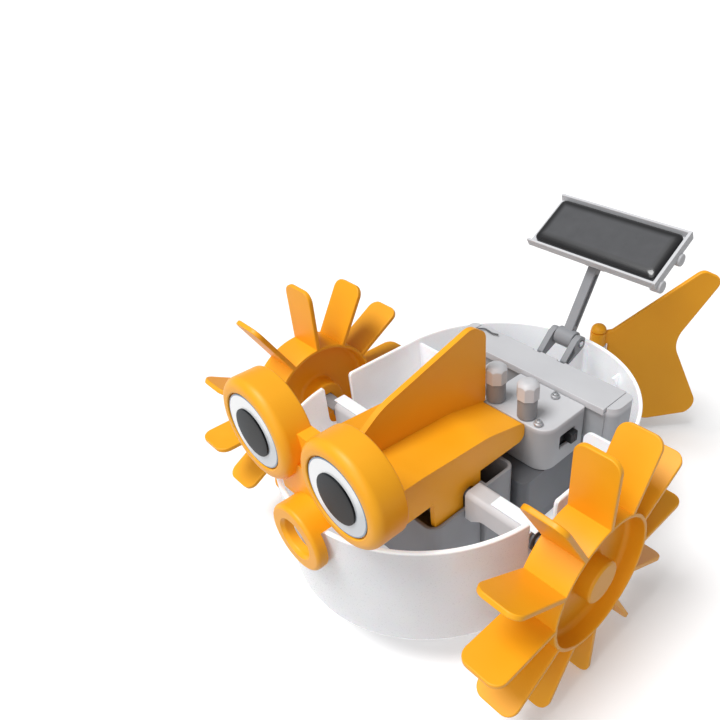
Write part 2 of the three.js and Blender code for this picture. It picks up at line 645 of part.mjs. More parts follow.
function solarTray() {
  const halfWidth = tray.width / 2;
  const halfDepth = tray.depth / 2;
  const { plate, lip, lipThick } = tray;
  const base = block(-halfWidth, halfWidth, -halfDepth, halfDepth, -plate, 0);
  const front = block(-halfWidth, halfWidth, -halfDepth, lipThick - halfDepth, -plate, lip);
  const back = block(-halfWidth, halfWidth, halfDepth - lipThick, halfDepth, -plate, lip);
  const right = block(halfWidth - lipThick, halfWidth, -halfDepth, halfDepth, -plate, lip);
  const ears = [1, -1].map((side) => {
    const x0 = side > 0 ? 2.7 : -4.9;
    return cut(
      join(
        block(x0, x0 + 2.2, tray.pinAlong - 2.8, tray.pinAlong + 2.8, -tray.pinBelow, -plate + 0.1),
        rodX(2.8, x0, x0 + 2.2, tray.pinAlong, -tray.pinBelow)),
      rodX(1 + gap, x0 - 1, x0 + 3.2, tray.pinAlong, -tray.pinBelow, 16));
  });
  const lugs = [-11.4, 4].map((along) => rodX(
    2.8, halfWidth - 4, halfWidth + 1, along, -3.2, 20));
  return tilted(join(base, front, back, right, ...ears, ...lugs));
}

// A pad with rounded edges and a slightly crowned face.
function solarCell() {
  const shape = roundedRect(cell.left, cell.right, -cell.depth / 2, cell.depth / 2, 2.5);
  const geometry = new THREE.ExtrudeGeometry(shape, {
    depth: cell.height - 0.8, bevelSize: 0.8, bevelThickness: 0.8, bevelSegments: 2,
    bevelOffset: -0.8, curveSegments: 5,
  });
  const pad = toSolid(geometry.translate(0, 0, 0.8 + gap));
  return tilted(pad.subtract(block(-50, 50, -50, 50, -2, gap)));
}

// ---- small pieces -------------------------------------------------------------------------

// An octagonal knob whose top is rounded over by a shallow dome.
function postCap(x) {
  const bottom = motorBox.top + post.height + 2 * gap;
  const prism = new THREE.CylinderGeometry(post.cap, post.cap, post.capHeight, 8);
  prism.rotateX(Math.PI / 2).rotateZ(Math.PI / 8);
  prism.translate(x, post.y, bottom + post.capHeight / 2);
  const shoulder = 3.6;
  const dome = [[0, -1], [post.cap + 0.4, -1], [post.cap + 0.4, post.capHeight - shoulder]];
  for (let step = 1; step <= 5; step += 1) {
    const angle = (step / 5) * Math.PI / 2;
    dome.push([(post.cap + 0.4) * Math.cos(angle),
      post.capHeight - shoulder * (1 - Math.sin(angle))]);
  }
  dome[dome.length - 1][0] = 0;
  return toSolid(prism).intersect(toSolid(turned(dome, 24).translate(x, post.y, bottom)));
}

function coverScrew(x, y) {
  return join(
    rodZ(1.9, motorBox.top + gap, motorBox.top + gap + 1.2, x, y),
    rodZ(1.3, motorBox.top + 1, motorBox.top + 2.6, x, y));
}

function switchSlider() {
  return join(
    block(motorBox.right - 4, motorBox.right - motorBox.wall - gap, 22.5, 29.2, 37.5, 46.5),
    block(motorBox.right - 2.5, motorBox.right + 2.2, 24.6, 28.9, 39.4, 44.6));
}

function batteryCell() {
  const half = battery.length / 2;
  return join(
    rodX(battery.radius, -half + 1.2, half, battery.y, battery.z, 32),
    rodX(2.6, -half, -half + 1.5, battery.y, battery.z, 16));
}

// A conical coil between the cell's flat end and the box's end wall.
function batterySpring() {
  const turns = 3;
  const start = battery.length / 2 + 0.7;
  const reach = box.half - 8 - 1 - start;
  const points = [];
  const steps = turns * 10;
  for (let step = 0; step <= steps; step += 1) {
    const angle = (step / 10) * 2 * Math.PI;
    const radius = 2.6 + (2.4 * step) / steps;
    points.push(new THREE.Vector3(
      start + (reach * step) / steps,
      battery.y + radius * Math.cos(angle), battery.z + radius * Math.sin(angle)));
  }
  const section = new THREE.Shape().absarc(0, 0, 0.35, 0, 2 * Math.PI);
  return new THREE.ExtrudeGeometry(section, {
    extrudePath: new THREE.CatmullRomCurve3(points), steps,
    bevelEnabled: false, curveSegments: 3,
  });
}

function batteryPlate() {
  return block(-box.half + 8 + gap, -box.half + 8.8, battery.y - 5, battery.y + 5, 38, 50);
}

// The link wire that stands a little proud of the lid, with both ends in it.
function jumperWire() {
  const z = lid.top + 1;
  const points = [
    [-40.4, 40.6, z - 0.2], [-40.6, 43, z + 0.3], [-39.6, 46, z + 0.6], [-37, 48.6, z + 0.8],
    [-34.5, 49.8, z + 0.8], [-32, 49.6, z + 0.5], [-30, 49.2, z + 0.2], [-28, 50, z - 0.2],
  ].map(([x, y, height]) => new THREE.Vector3(x, y, height));
  const section = new THREE.Shape().absarc(0, 0, 0.4, 0, 2 * Math.PI);
  return new THREE.ExtrudeGeometry(section, {
    extrudePath: new THREE.CatmullRomCurve3(points), steps: 16,
    bevelEnabled: false, curveSegments: 3,
  });
}

// ---- assembly -----------------------------------------------------------------------------

const sides = [[1, 'right'], [-1, 'left']];

addPiece('hull_bowl', hullBowl(), finish.frosted);
addPiece('gear_housing', gearHousing(), finish.midGrey);
addPiece('front_tower', frontTower(), finish.midGrey);
addPiece('motor_cradle', motorCradle(), finish.darkGrey);
addPiece('motor_cover', motorCover(), finish.grey);
addPiece('battery_stand', batteryStand(), finish.darkGrey);
addPiece('battery_box', batteryBox(), finish.grey);
addPiece('battery_lid', batteryLid(), finish.grey);
addPiece('panel_yoke', panelYoke(), finish.midGrey);

for (const [side, name] of sides) {
  addPiece(`axle_sleeve_${name}`, axleSleeve(side), finish.grey);
  const [x0, x1] = side > 0 ? [clip.start, clip.end] : [-clip.end, -clip.start];
  const clipZ = sleeve.top + gap;
  addPiece(`axle_clip_${name}`,
    block(x0, x1, axle.y - clip.half, axle.y + clip.half, clipZ, clipZ + clip.thick),
    finish.frosted);
  addPiece(`axle_bush_${name}`, axleBush(side), finish.darkGrey);
  addPiece(`paddle_wheel_${name}`, paddleWheel(side), finish.orange);
}

post.xs.forEach((x, index) => {
  const name = index ? 'right' : 'left';
  const z0 = motorBox.top + gap;
  addPiece(`terminal_post_${name}`, rodZ(post.radius, z0, z0 + post.height, x, post.y),
    finish.midGrey);
  addPiece(`post_cap_${name}`, postCap(x), finish.grey);
});
addPiece('cover_screw_front', coverScrew(26.6, 12.6), finish.steel);
addPiece('cover_screw_rear', coverScrew(20, 32), finish.steel);
addPiece('switch_slider', switchSlider(), finish.black);

addPiece('motor_can', motorCan(), finish.steel);
addPiece('motor_pinion', motorPinion(), finish.brass);
addPiece('gear_one', gearOne(), finish.gear);
addPiece('gear_two', gearTwo(), finish.gear);
addPiece('axle_gear', axleGear(), finish.gear);
addPiece('axle_rod', axleRod(), finish.midGrey);
const pinStart = -housing.half + housing.wall + gap;
addPiece('gear_one_pin', rodX(1.2, pinStart, gearPlane.first + gearFace + 0.3, ...oneCentre, 16),
  finish.steel);
addPiece('gear_two_pin', rodX(1.2, pinStart, gearPlane.second + gearFace + 0.6, ...twoCentre, 16),
  finish.steel);

addPiece('aa_battery', batteryCell(), finish.batteryWrap);
addPiece('battery_spring', batterySpring(), finish.steel);
addPiece('battery_plate', batteryPlate(), finish.brass);
addPiece('jumper_wire', jumperWire(), finish.darkGrey);

addPiece('face_mask', faceMask(), finish.orange);
addPiece('back_shell', backShell(), finish.orange);
for (const [side, name] of sides) {
  const floor = eye.front + 1.2;
  addPiece(`eye_white_${name}`,
    rodY(eye.white, floor - 0.9, floor - gap, side * eye.x, eye.z, 28), finish.white);
  addPiece(`pupil_${name}`,
    rodY(eye.pupil, floor - 1.6, floor - 1.2, side * eye.x, eye.z - 0.3, 24), finish.pupil);
}
addPiece('tail_fin', tailFin(), finish.orange);
addPiece('tail_pin', tailPin(), finish.orange);

addPiece('arm_hinge_pin', rodX(yoke.pin, -8.4, 8.4, yoke.pinY, yoke.pinZ, 20), finish.steel);
addPiece('solar_arm', solarArm(), finish.midGrey);
addPiece('tray_pin', rodX(1, -5.4, 5.4, ...trayPinCentre, 16), finish.steel);
addPiece('solar_tray', solarTray(), finish.midGrey);
addPiece('solar_cell', solarCell(), finish.cell);

const extent = new THREE.Box3().setFromObject(model);
const centre = extent.getCenter(new THREE.Vector3());
model.position.set(-centre.x, -centre.y, -extent.min.z);
model.updateMatrixWorld(true);

const group = new THREE.Group();
group.name = 'solar_paddle_robot';
group.add(model);

export default group;
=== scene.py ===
# Looks for the fish-shaped solar paddle robot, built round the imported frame.
import json
import math

import bpy
from mathutils import Matrix, Vector

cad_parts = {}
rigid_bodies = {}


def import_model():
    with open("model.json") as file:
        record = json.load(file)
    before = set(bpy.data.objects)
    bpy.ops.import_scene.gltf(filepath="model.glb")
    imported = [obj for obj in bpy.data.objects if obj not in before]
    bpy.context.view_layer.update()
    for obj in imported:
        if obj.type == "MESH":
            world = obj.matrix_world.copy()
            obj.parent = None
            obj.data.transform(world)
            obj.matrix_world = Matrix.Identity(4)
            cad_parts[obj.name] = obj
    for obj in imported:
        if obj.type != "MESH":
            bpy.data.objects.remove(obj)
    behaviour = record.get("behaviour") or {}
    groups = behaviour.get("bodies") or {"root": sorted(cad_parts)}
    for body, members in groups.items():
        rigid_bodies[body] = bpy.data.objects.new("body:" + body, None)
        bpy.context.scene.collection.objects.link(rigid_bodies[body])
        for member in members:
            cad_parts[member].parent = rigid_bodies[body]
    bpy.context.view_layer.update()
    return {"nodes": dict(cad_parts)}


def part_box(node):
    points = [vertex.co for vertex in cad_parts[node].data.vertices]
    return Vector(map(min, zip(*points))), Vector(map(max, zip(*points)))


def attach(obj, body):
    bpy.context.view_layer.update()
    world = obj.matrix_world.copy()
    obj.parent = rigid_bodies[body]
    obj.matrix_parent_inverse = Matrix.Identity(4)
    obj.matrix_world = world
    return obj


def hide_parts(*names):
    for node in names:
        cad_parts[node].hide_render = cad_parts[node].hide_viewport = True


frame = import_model()

# Pieces are modelled in millimetres in the hull's own frame: its origin is the middle of the
# hull's underside. finishPiece scales them to metres and moves them into the shared frame.
mm = 0.001
gap = 0.3  # between pieces that touch
weld = {"line": 0.001, "solid": 0.002, "eased": 0.004}  # merge distances
flatAngle = math.radians(0.6)  # faces this close to flat are merged
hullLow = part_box("hull_bowl")[0]
hullReach = 80.5  # from the hull's middle to its front
origin = Vector((0, hullLow.y + hullReach * mm, hullLow.z))


def toHull(point):
    return (point - origin) / mm


def nodeBox(node):
    low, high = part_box(node)
    return toHull(low), toHull(high)


def clearSelection():
    if bpy.context.object and bpy.context.object.mode == "EDIT":
        bpy.ops.object.mode_set(mode="OBJECT")
    bpy.ops.object.select_all(action="DESELECT")


def pick(piece):
    clearSelection()
    piece.select_set(True)
    bpy.context.view_layer.objects.active = piece


def settle():
    bpy.ops.object.transform_apply(location=True, rotation=True, scale=True)
    return bpy.context.object


def block(x0, x1, y0, y1, z0, z1):
    clearSelection()
    middle = ((x0 + x1) / 2, (y0 + y1) / 2, (z0 + z1) / 2)
    bpy.ops.mesh.primitive_cube_add(size=1, location=middle, scale=(x1 - x0, y1 - y0, z1 - z0))
    return settle()


def sided(side, near, far):
    # a span to the right of the middle plane, or its mirror image
    return sorted((side * near, side * far))


turns = {"X": (0, math.pi / 2, 0), "Z": (0, 0, 0)}


def rod(radius, start, end, axis, a, b, sides=48):
    # a and b are the two other coordinates, in X, Y, Z order
    middle = (start + end) / 2
    spot = {"X": (middle, a, b), "Z": (a, b, middle)}[axis]
    clearSelection()
    bpy.ops.mesh.primitive_cylinder_add(
        vertices=sides, radius=radius, depth=end - start, location=spot, rotation=turns[axis])
    return settle()


def roundCorners(points, steps=6):
    # each point is (a, b) or (a, b, radius of the round corner)
    result = []
    count = len(points)
    for index, point in enumerate(points):
        here = Vector(point[:2])
        radius = point[2] if len(point) > 2 else 0
        if not radius:
            result.append(here)
            continue
        before = (Vector(points[index - 1][:2]) - here).normalized()
        after = (Vector(points[(index + 1) % count][:2]) - here).normalized()
        half = before.angle(after) / 2
        centre = here + (before + after).normalized() * (radius / math.sin(half))
        reach = radius / math.tan(half)
        first = (here + before * reach) - centre
        turn = first.angle_signed((here + after * reach) - centre)
        for step in range(steps + 1):
            spun = first.copy()
            spun.rotate(Matrix.Rotation(-turn * step / steps, 2))
            result.append(centre + spun)
    return result


spots = {
    "YZ": lambda a, b, depth: Vector((depth, a, b)),
    "XZ": lambda a, b, depth: Vector((a, depth, b)),
    "XY": lambda a, b, depth: Vector((a, b, depth)),
}


def drawLine(points, plane, depth, close):
    # one vertex, extruded from point to point
    path = [spots[plane](point[0], point[1], depth) for point in points]
    clearSelection()
    bpy.ops.mesh.primitive_plane_add(size=1, location=path[0])
    bpy.ops.object.mode_set(mode="EDIT")
    bpy.ops.mesh.select_all(action="SELECT")
    bpy.ops.mesh.merge(type="CENTER")
    stops = path[1:] + ([path[0]] if close else [])
    last = path[0]
    for stop in stops:
        bpy.ops.mesh.extrude_region_move(TRANSFORM_OT_translate={"value": stop - last})
        last = stop
    bpy.ops.mesh.select_all(action="SELECT")
    if close:
        bpy.ops.mesh.remove_doubles(threshold=weld["line"])


def prism(points, plane, start, end, steps=6):
    drawLine(roundCorners(points, steps), plane, start, True)
    bpy.ops.mesh.edge_face_add()
    push = spots[plane](0, 0, end - start)
    bpy.ops.mesh.extrude_region_move(TRANSFORM_OT_translate={"value": push})
    bpy.ops.mesh.select_all(action="SELECT")
    bpy.ops.mesh.normals_make_consistent(inside=False)
    bpy.ops.object.mode_set(mode="OBJECT")
    return settle()


def turned(profile, axis, a, b, steps=64):
    # profile points are (radius, place along the axis, corner radius), from the axis back to it
    plane = {"X": "XZ", "Y": "YZ", "Z": "XZ"}[axis]
    centre = {"X": (0, a, b), "Y": (a, 0, b), "Z": (a, b, 0)}[axis]
    corners = roundCorners([(0, profile[0][1])] + list(profile) + [(0, profile[-1][1])], 5)
    upright = axis == "Z"
    flat = [(a + radius, along) if upright else (along, b + radius) for radius, along in corners]
    depth = b if upright else a
    line = {"X": (1, 0, 0), "Y": (0, 1, 0), "Z": (0, 0, 1)}[axis]
    drawLine(flat, plane, depth, False)
    bpy.ops.mesh.spin(steps=steps, angle=math.tau, center=centre, axis=line)
    bpy.ops.mesh.select_all(action="SELECT")
    bpy.ops.mesh.remove_doubles(threshold=weld["solid"])
    bpy.ops.mesh.normals_make_consistent(inside=False)
    bpy.ops.object.mode_set(mode="OBJECT")
    return settle()


def applied(piece, kind, **settings):
    pick(piece)
    modifier = piece.modifiers.new(kind.title(), kind)
    for key, value in settings.items():
        setattr(modifier, key, value)
    bpy.ops.object.modifier_apply(modifier=modifier.name)
    return piece


def boolean(piece, tools, operation):
    for tool in tools:
        applied(piece, "BOOLEAN", operation=operation, solver="EXACT", object=tool)
        bpy.data.objects.remove(tool)
    return piece


def cut(piece, *tools):
    return boolean(piece, tools, "DIFFERENCE")


def join(piece, *tools):
    return boolean(piece, tools, "UNION")


def eased(piece, width, segments=3, angle=32):
    # rounds every edge sharper than the angle
    pick(piece)
    bpy.ops.object.mode_set(mode="EDIT")
    bpy.ops.mesh.select_all(action="SELECT")
    bpy.ops.mesh.remove_doubles(threshold=weld["eased"])
    bpy.ops.mesh.dissolve_limited(angle_limit=flatAngle)
    bpy.ops.object.mode_set(mode="OBJECT")
    return applied(piece, "BEVEL", width=width, segments=segments, limit_method="ANGLE",
                   angle_limit=math.radians(angle), miter_outer="MITER_ARC",
                   use_clamp_overlap=True)


def spin(piece, degrees, axis, centre):
    # in background mode the operator turns the other way round the axis
    pick(piece)
    bpy.ops.object.mode_set(mode="EDIT")
    bpy.ops.mesh.select_all(action="SELECT")
    bpy.ops.transform.rotate(value=math.radians(degrees), orient_axis=axis,
                             center_override=centre)
    bpy.ops.object.mode_set(mode="OBJECT")


def mirrored(piece):
    pick(piece)
    piece.scale.x = -1
    settle()
    bpy.ops.object.mode_set(mode="EDIT")
    bpy.ops.mesh.select_all(action="SELECT")
    bpy.ops.mesh.normals_make_consistent(inside=False)
    bpy.ops.object.mode_set(mode="OBJECT")


def cadCopy(node):
    # a merged copy of a CAD node, in hull millimetres
    pick(frame["nodes"][node])
    bpy.ops.object.duplicate()
    copy = bpy.context.object
    for key in [key for key in copy.keys() if key.startswith("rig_")]:
        del copy[key]
    copy.parent = None
    copy.data.transform(Matrix.Diagonal((1 / mm,) * 3).to_4x4() @ Matrix.Translation(-origin))
    copy.data.materials.clear()
    bpy.ops.object.mode_set(mode="EDIT")
    bpy.ops.mesh.select_all(action="SELECT")
    bpy.ops.mesh.remove_doubles(threshold=weld["solid"])
    bpy.ops.mesh.dissolve_limited(angle_limit=flatAngle)
    bpy.ops.object.mode_set(mode="OBJECT")
    return copy


def finishPiece(piece, name, body, slotName, material, *nodes, smooth=35):
    pick(piece)
    piece.name = name
    piece.data.name = name
    piece.location = origin
    piece.scale = (mm, mm, mm)
    settle()
    piece.data.materials.clear()
    piece.data.materials.append(material)
    bpy.ops.object.shade_smooth_by_angle(angle=math.radians(smooth))
    applied(piece, "WEIGHTED_NORMAL", keep_sharp=True)
    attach(piece, body)
    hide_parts(*nodes)


class Reading:
    # wraps a socket so that shader maths can be written as sums
    def __init__(self, finish, socket):
        self.finish = finish
        self.socket = socket

    def maths(self, operation, first, second):
        return self.finish.node("ShaderNodeMath", {"operation": operation}, {0: first, 1: second})

    def __add__(self, other):
        return self.maths("ADD", self, other)

    def __radd__(self, other):
        return self.maths("ADD", other, self)

    def __sub__(self, other):
        return self.maths("SUBTRACT", self, other)

    def __rsub__(self, other):
        return self.maths("SUBTRACT", other, self)

    def __mul__(self, other):
        return self.maths("MULTIPLY", self, other)

    def __rmul__(self, other):
        return self.maths("MULTIPLY", other, self)

    def __pow__(self, other):
        return self.maths("POWER", self, other)


def linear(red, green, blue):
    # 8-bit display colour to scene colour
    def one(value):
        share = value / 255
        return share / 12.92 if share <= 0.04045 else ((share + 0.055) / 1.055) ** 2.4
    return (one(red), one(green), one(blue), 1)


class Finish:
    def __init__(self, name, **fixed):
        self.material = bpy.data.materials.new(name)
        self.material.use_nodes = True
        self.tree = self.material.node_tree
        self.shader = self.tree.nodes["Principled BSDF"]
        for key, value in fixed.items():
            self.shader.inputs[key.replace("_", " ")].default_value = value
        self.place = self.node("ShaderNodeTexCoord", {}, {}, "Object")

    def node(self, kind, settings, sockets, output=0):
        made = self.tree.nodes.new(kind)
        for key, value in settings.items():
            setattr(made, key, value)
        for key, value in sockets.items():
            if isinstance(value, Reading):
                self.tree.links.new(value.socket, made.inputs[key])
            else:
                made.inputs[key].default_value = value
        return Reading(self, made.outputs[output])

    def feed(self, **inputs):
        for key, value in inputs.items():
            self.tree.links.new(value.socket, self.shader.inputs[key.replace("_", " ")])

    def offsets(self, spot):
        # readings of X, Y and Z, counted from a spot in the shared frame
        away = self.node("ShaderNodeVectorMath", {"operation": "SUBTRACT"},
                         {0: self.place, 1: spot})
        parts = self.node("ShaderNodeSeparateXYZ", {}, {"Vector": away}, "X").socket.node
        return [Reading(self, parts.outputs[axis]) for axis in "XYZ"]

    def noise(self, scale, detail=2, place=None):
        return self.node("ShaderNodeTexNoise", {}, {
            "Vector": place or self.place, "Scale": scale, "Detail": detail})

    def mix(self, share, first, second):
        return self.node("ShaderNodeMix", {"data_type": "RGBA"}, {0: share, 6: first, 7: second}, 2)

    def ramp(self, value, low, high, start=0.0, end=1.0):
        return self.node("ShaderNodeMapRange", {}, {
            "Value": value, "From Min": low, "From Max": high, "To Min": start, "To Max": end})

    def bump(self, height, strength, distance):
        normal = self.node("ShaderNodeBump", {}, {
            "Height": height, "Strength": strength, "Distance": distance}, "Normal")
        self.feed(Normal=normal)


deck = {"low": 49.6, "high": 51.6}  # the level where the painted shade ends


def moulded(name, base, dark, light, roughness, low=None, **fixed):
    # moulded plastic: soft flow marks in the colour, a fine spark-eroded grain on the skin;
    # low is a painted shade: a darker colour below the level of the deck, inside the hull
    finish = Finish(name, **fixed)
    flow = finish.noise(38, 3)
    speck = finish.noise(2600, 2)
    soft = finish.mix(finish.ramp(flow, 0.3, 0.7), linear(*dark), linear(*light))
    colour = finish.mix(0.5, linear(*base), soft)
    # painted shade: below the deck level the colour fades to the darker low grey, as if in shade
    # inside the hull
    if low:
        height = finish.offsets(origin)[2]
        colour = finish.mix(finish.ramp(height, deck["low"] * mm, deck["high"] * mm),
                            linear(*low), colour)
    finish.feed(
        Base_Color=colour,
        Roughness=finish.ramp(flow, 0.25, 0.75, roughness - 0.04, roughness + 0.05)
        + 0.05 * (speck - 0.5))
    finish.bump(speck + 0.35 * finish.noise(700, 2), 0.06, 0.00012)
    return finish.material


print("materials")
orange = moulded("orangePlastic", (250, 172, 26), (246, 164, 18), (253, 180, 38), 0.42,
                 Specular_IOR_Level=0.38)
paleGrey = moulded("paleGreyPlastic", (200, 201, 204), (193, 194, 198), (208, 209, 212), 0.42)
# pale grey plastic with a painted shade below the deck level
paintedShadeGrey = moulded("paleGreyPaintedShadePlastic", (201, 202, 205), (194, 195, 199), (209, 210, 213), 0.44,
                   low=(164, 166, 169), Specular_IOR_Level=0.35)
midGrey = moulded("midGreyPlastic", (140, 142, 146), (132, 134, 138), (150, 152, 156), 0.45,
                  Specular_IOR_Level=0.35)
deepGrey = moulded("deepGreyPlastic", (92, 94, 98), (84, 86, 90), (101, 103, 107), 0.5)
blackPlastic = moulded("blackPlastic", (28, 29, 31), (22, 23, 25), (36, 37, 40), 0.38)
nylon = moulded("naturalNylon", (232, 229, 218), (224, 220, 207), (240, 238, 229), 0.36,
                Subsurface_Weight=0.15, Subsurface_Scale=0.002)


def metalFinish(name, dark, light, roughness, grain):
    # plated or drawn metal: fine lines along X and small cloudy stains
    finish = Finish(name, Metallic=1.0)
    lines = finish.noise(1, 3, finish.node(
        "ShaderNodeVectorMath", {"operation": "MULTIPLY"}, {0: finish.place, 1: grain}))
    cloud = finish.noise(90, 3)
    finish.feed(
        Base_Color=finish.mix(finish.ramp(cloud, 0.3, 0.7), linear(*dark), linear(*light)),
        Roughness=roughness + 0.16 * (lines - 0.5))
    finish.bump(lines, 0.05, 0.0001)
    return finish.material


satinZinc = metalFinish("satinZinc", (196, 198, 201), (216, 217, 219), 0.6, (1400, 1400, 1400))
steel = metalFinish("platedSteel", (176, 178, 182), (206, 208, 211), 0.28, (120, 2600, 2600))
brass = metalFinish("plainBrass", (196, 158, 92), (218, 182, 116), 0.3, (400, 2400, 2400))


print("camera, light and floor")
view = {"spot": (150.0, -154.3, 217.1), "azimuth": 43.12, "elevation": 36.43,
        "lens": 33.23, "shift": (-0.1635, 0.0542)}
cameraData = bpy.data.cameras.new("camera")
cameraData.lens = view["lens"]
cameraData.sensor_width = 36
cameraData.shift_x, cameraData.shift_y = view["shift"]
cameraData.clip_start = 0.01
camera = bpy.data.objects.new("camera", cameraData)
camera.location = origin + Vector(view["spot"]) * mm
camera.rotation_euler = (math.radians(90 - view["elevation"]), 0, math.radians(view["azimuth"]))
bpy.context.scene.collection.objects.link(camera)
bpy.context.scene.camera = camera
bpy.context.scene.view_settings.view_transform = "Standard"


def sunLight(name, towards, strength, spread):
    data = bpy.data.lights.new(name, "SUN")
    data.energy = strength
    data.angle = math.radians(spread)
    sun = bpy.data.objects.new(name, data)
    sun.rotation_euler = Vector(towards).to_track_quat("Z", "Y").to_euler()
    bpy.context.scene.collection.objects.link(sun)


sunLight("keySun", (-0.14, -0.36, 0.92), 2.3, 26)
sunLight("frontFill", (0.2, -0.8, 0.5), 1.1, 60)

world = bpy.data.worlds.new("studio")
world.use_nodes = True
world.node_tree.nodes["Background"].inputs["Color"].default_value = (1, 1, 1, 1)
world.node_tree.nodes["Background"].inputs["Strength"].default_value = 0.3
bpy.context.scene.world = world

clearSelection()
bpy.ops.mesh.primitive_plane_add(size=30)
floor = bpy.context.object
floor.name = "floor"
floorFinish = Finish("paleFloor", Roughness=0.7, Emission_Strength=0.12,
                     Emission_Color=(1, 1, 1, 1))
floorFinish.feed(Base_Color=floorFinish.mix(
    floorFinish.noise(3, 2), linear(244, 244, 245), linear(248, 248, 248)))
floor.data.materials.append(floorFinish.material)
floor.visible_diffuse = False  # a dark studio below keeps the undersides in shade


print("hull")
hull = {"radius": 58.5, "straight": 22, "height": 52, "wall": 1.7, "floor": 2, "foot": 1.4,
        "edge": 5, "footInset": 6, "sides": 128}
axle = {"y": -23, "z": 37.2, "radius": 2, "half": 58, "hex": 3.23, "hexStart": 57,
        "hexEnd": 80.2}
motor = {"y": 24, "z": 40.9, "left": 1.5, "length": 25, "width": 20, "height": 15,
         "opening": 3.4}
tail = {"y": 93, "turn": 40, "lugBottom": 37, "lugTop": 42.4}


def frostedGlowFinish():
    # milky tub: the inner skin has a painted glow brighter than the outer's, the top of the rim a
    # painted white highlight, and a little shows through
    # the emission here is a painted glow; the hull is no lamp
    finish = Finish("frostedHullPaintedGlow", Coat_Weight=0.35, Coat_Roughness=0.1,
                    Subsurface_Weight=0.3, Subsurface_Scale=0.004, Emission_Strength=0.32)
    across, along, height = finish.offsets(origin)
    along = along.maths("ABSOLUTE", along, 0)
    beyond = across.maths("MAXIMUM", along - hull["straight"] * mm, 0.0)
    reach = (across * across + beyond * beyond) ** 0.5
    # painted glow: this mask makes the inner skin glow brighter than the outer one
    inside = finish.ramp(reach, (hull["radius"] - 0.7) * mm, (hull["radius"] - 1.1) * mm)
    # painted highlight: this mask whitens the colour and the glow along the top of the rim
    rim = finish.ramp(height, (hull["height"] - 1.2) * mm, (hull["height"] - 0.4) * mm)
    flow = finish.noise(24, 3)
    speck = finish.noise(1800, 2)
    tint = finish.mix(finish.ramp(flow, 0.3, 0.7), linear(226, 227, 230), linear(236, 237, 239))
    glow = finish.mix(inside, linear(84, 85, 87), linear(235, 236, 238))
    finish.feed(Base_Color=finish.mix(rim, tint, linear(250, 250, 251)),
                Emission_Color=finish.mix(rim, glow, linear(250, 250, 251)),
                Alpha=finish.ramp(flow, 0.3, 0.7, 0.82, 0.86),
                Roughness=finish.ramp(speck, 0.3, 0.7, 0.26, 0.34))
    finish.bump(speck, 0.04, 0.0001)
    return finish.material


frosted = frostedGlowFinish()


def quarter(steps):
    return [math.pi / 2 * step / steps for step in range(steps + 1)]


def makeHull():
    outer, inner = hull["radius"], hull["radius"] - hull["wall"]
    foot = outer - hull["footInset"]
    levels = [(foot, 0), (foot + 0.5, 0.2), (foot + 0.9, hull["foot"] - 0.3),
              (foot + 1.2, hull["foot"])]
    edge = hull["edge"]
    for angle in quarter(8):
        levels.append((outer - 0.6 - edge + edge * math.sin(angle),
                       hull["foot"] + edge - edge * math.cos(angle)))
    levels += [(outer - 0.1, hull["height"] - 0.5), (outer - 0.35, hull["height"] - 0.1),
               (outer - 0.6, hull["height"]), (inner + 0.5, hull["height"]),
               (inner + 0.2, hull["height"] - 0.15), (inner, hull["height"] - 0.5)]
    bend = edge - 1
    for angle in reversed(quarter(8)):
        levels.append((inner - 0.6 - bend + bend * math.sin(angle),
                       hull["floor"] + bend - bend * math.cos(angle)))
    clearSelection()
    bpy.ops.mesh.primitive_circle_add(
        vertices=hull["sides"], radius=levels[0][0], location=(0, 0, levels[0][1]))
    settle()
    bpy.ops.object.mode_set(mode="EDIT")
    bpy.ops.mesh.select_all(action="SELECT")
    for (radius, height), (nextRadius, nextHeight) in zip(levels, levels[1:]):
        share = nextRadius / radius
        bpy.ops.mesh.extrude_region_move(
            TRANSFORM_OT_translate={"value": (0, 0, nextHeight - height)})
        bpy.ops.transform.resize(value=(share, share, 1), center_override=(0, 0, 0))
    bpy.ops.mesh.select_all(action="SELECT")
    bpy.ops.mesh.fill_holes(sides=0)
    bpy.ops.mesh.normals_make_consistent(inside=False)
    for side in (1, -1):  # the two halves move apart, which leaves straight sides
        bpy.ops.mesh.select_all(action="DESELECT")
        bpy.ops.object.mode_set(mode="OBJECT")
        for vertex in bpy.context.object.data.vertices:
            vertex.select = vertex.co.y * side > 0.01
        bpy.ops.object.mode_set(mode="EDIT")
        bpy.ops.transform.translate(value=(0, side * hull["straight"], 0))
    bpy.ops.object.mode_set(mode="OBJECT")
    return settle()


def notchTool(side):
    half, top = 7.2, hull["height"] + 0.02
    y, low = axle["y"], axle["z"] - 7.2
    points = [(y - half - 8, top + 6), (y - half - 8, top), (y - half, top, 1.2),
              (y - half, low, 6.9), (y + half, low, 6.9), (y + half, top, 2.2),
              (y + half + 8, top), (y + half + 8, top + 6)]
    near, far = hull["radius"] - 6, hull["radius"] + 3
    return prism(points, "YZ", *sided(side, near, far), steps=10)


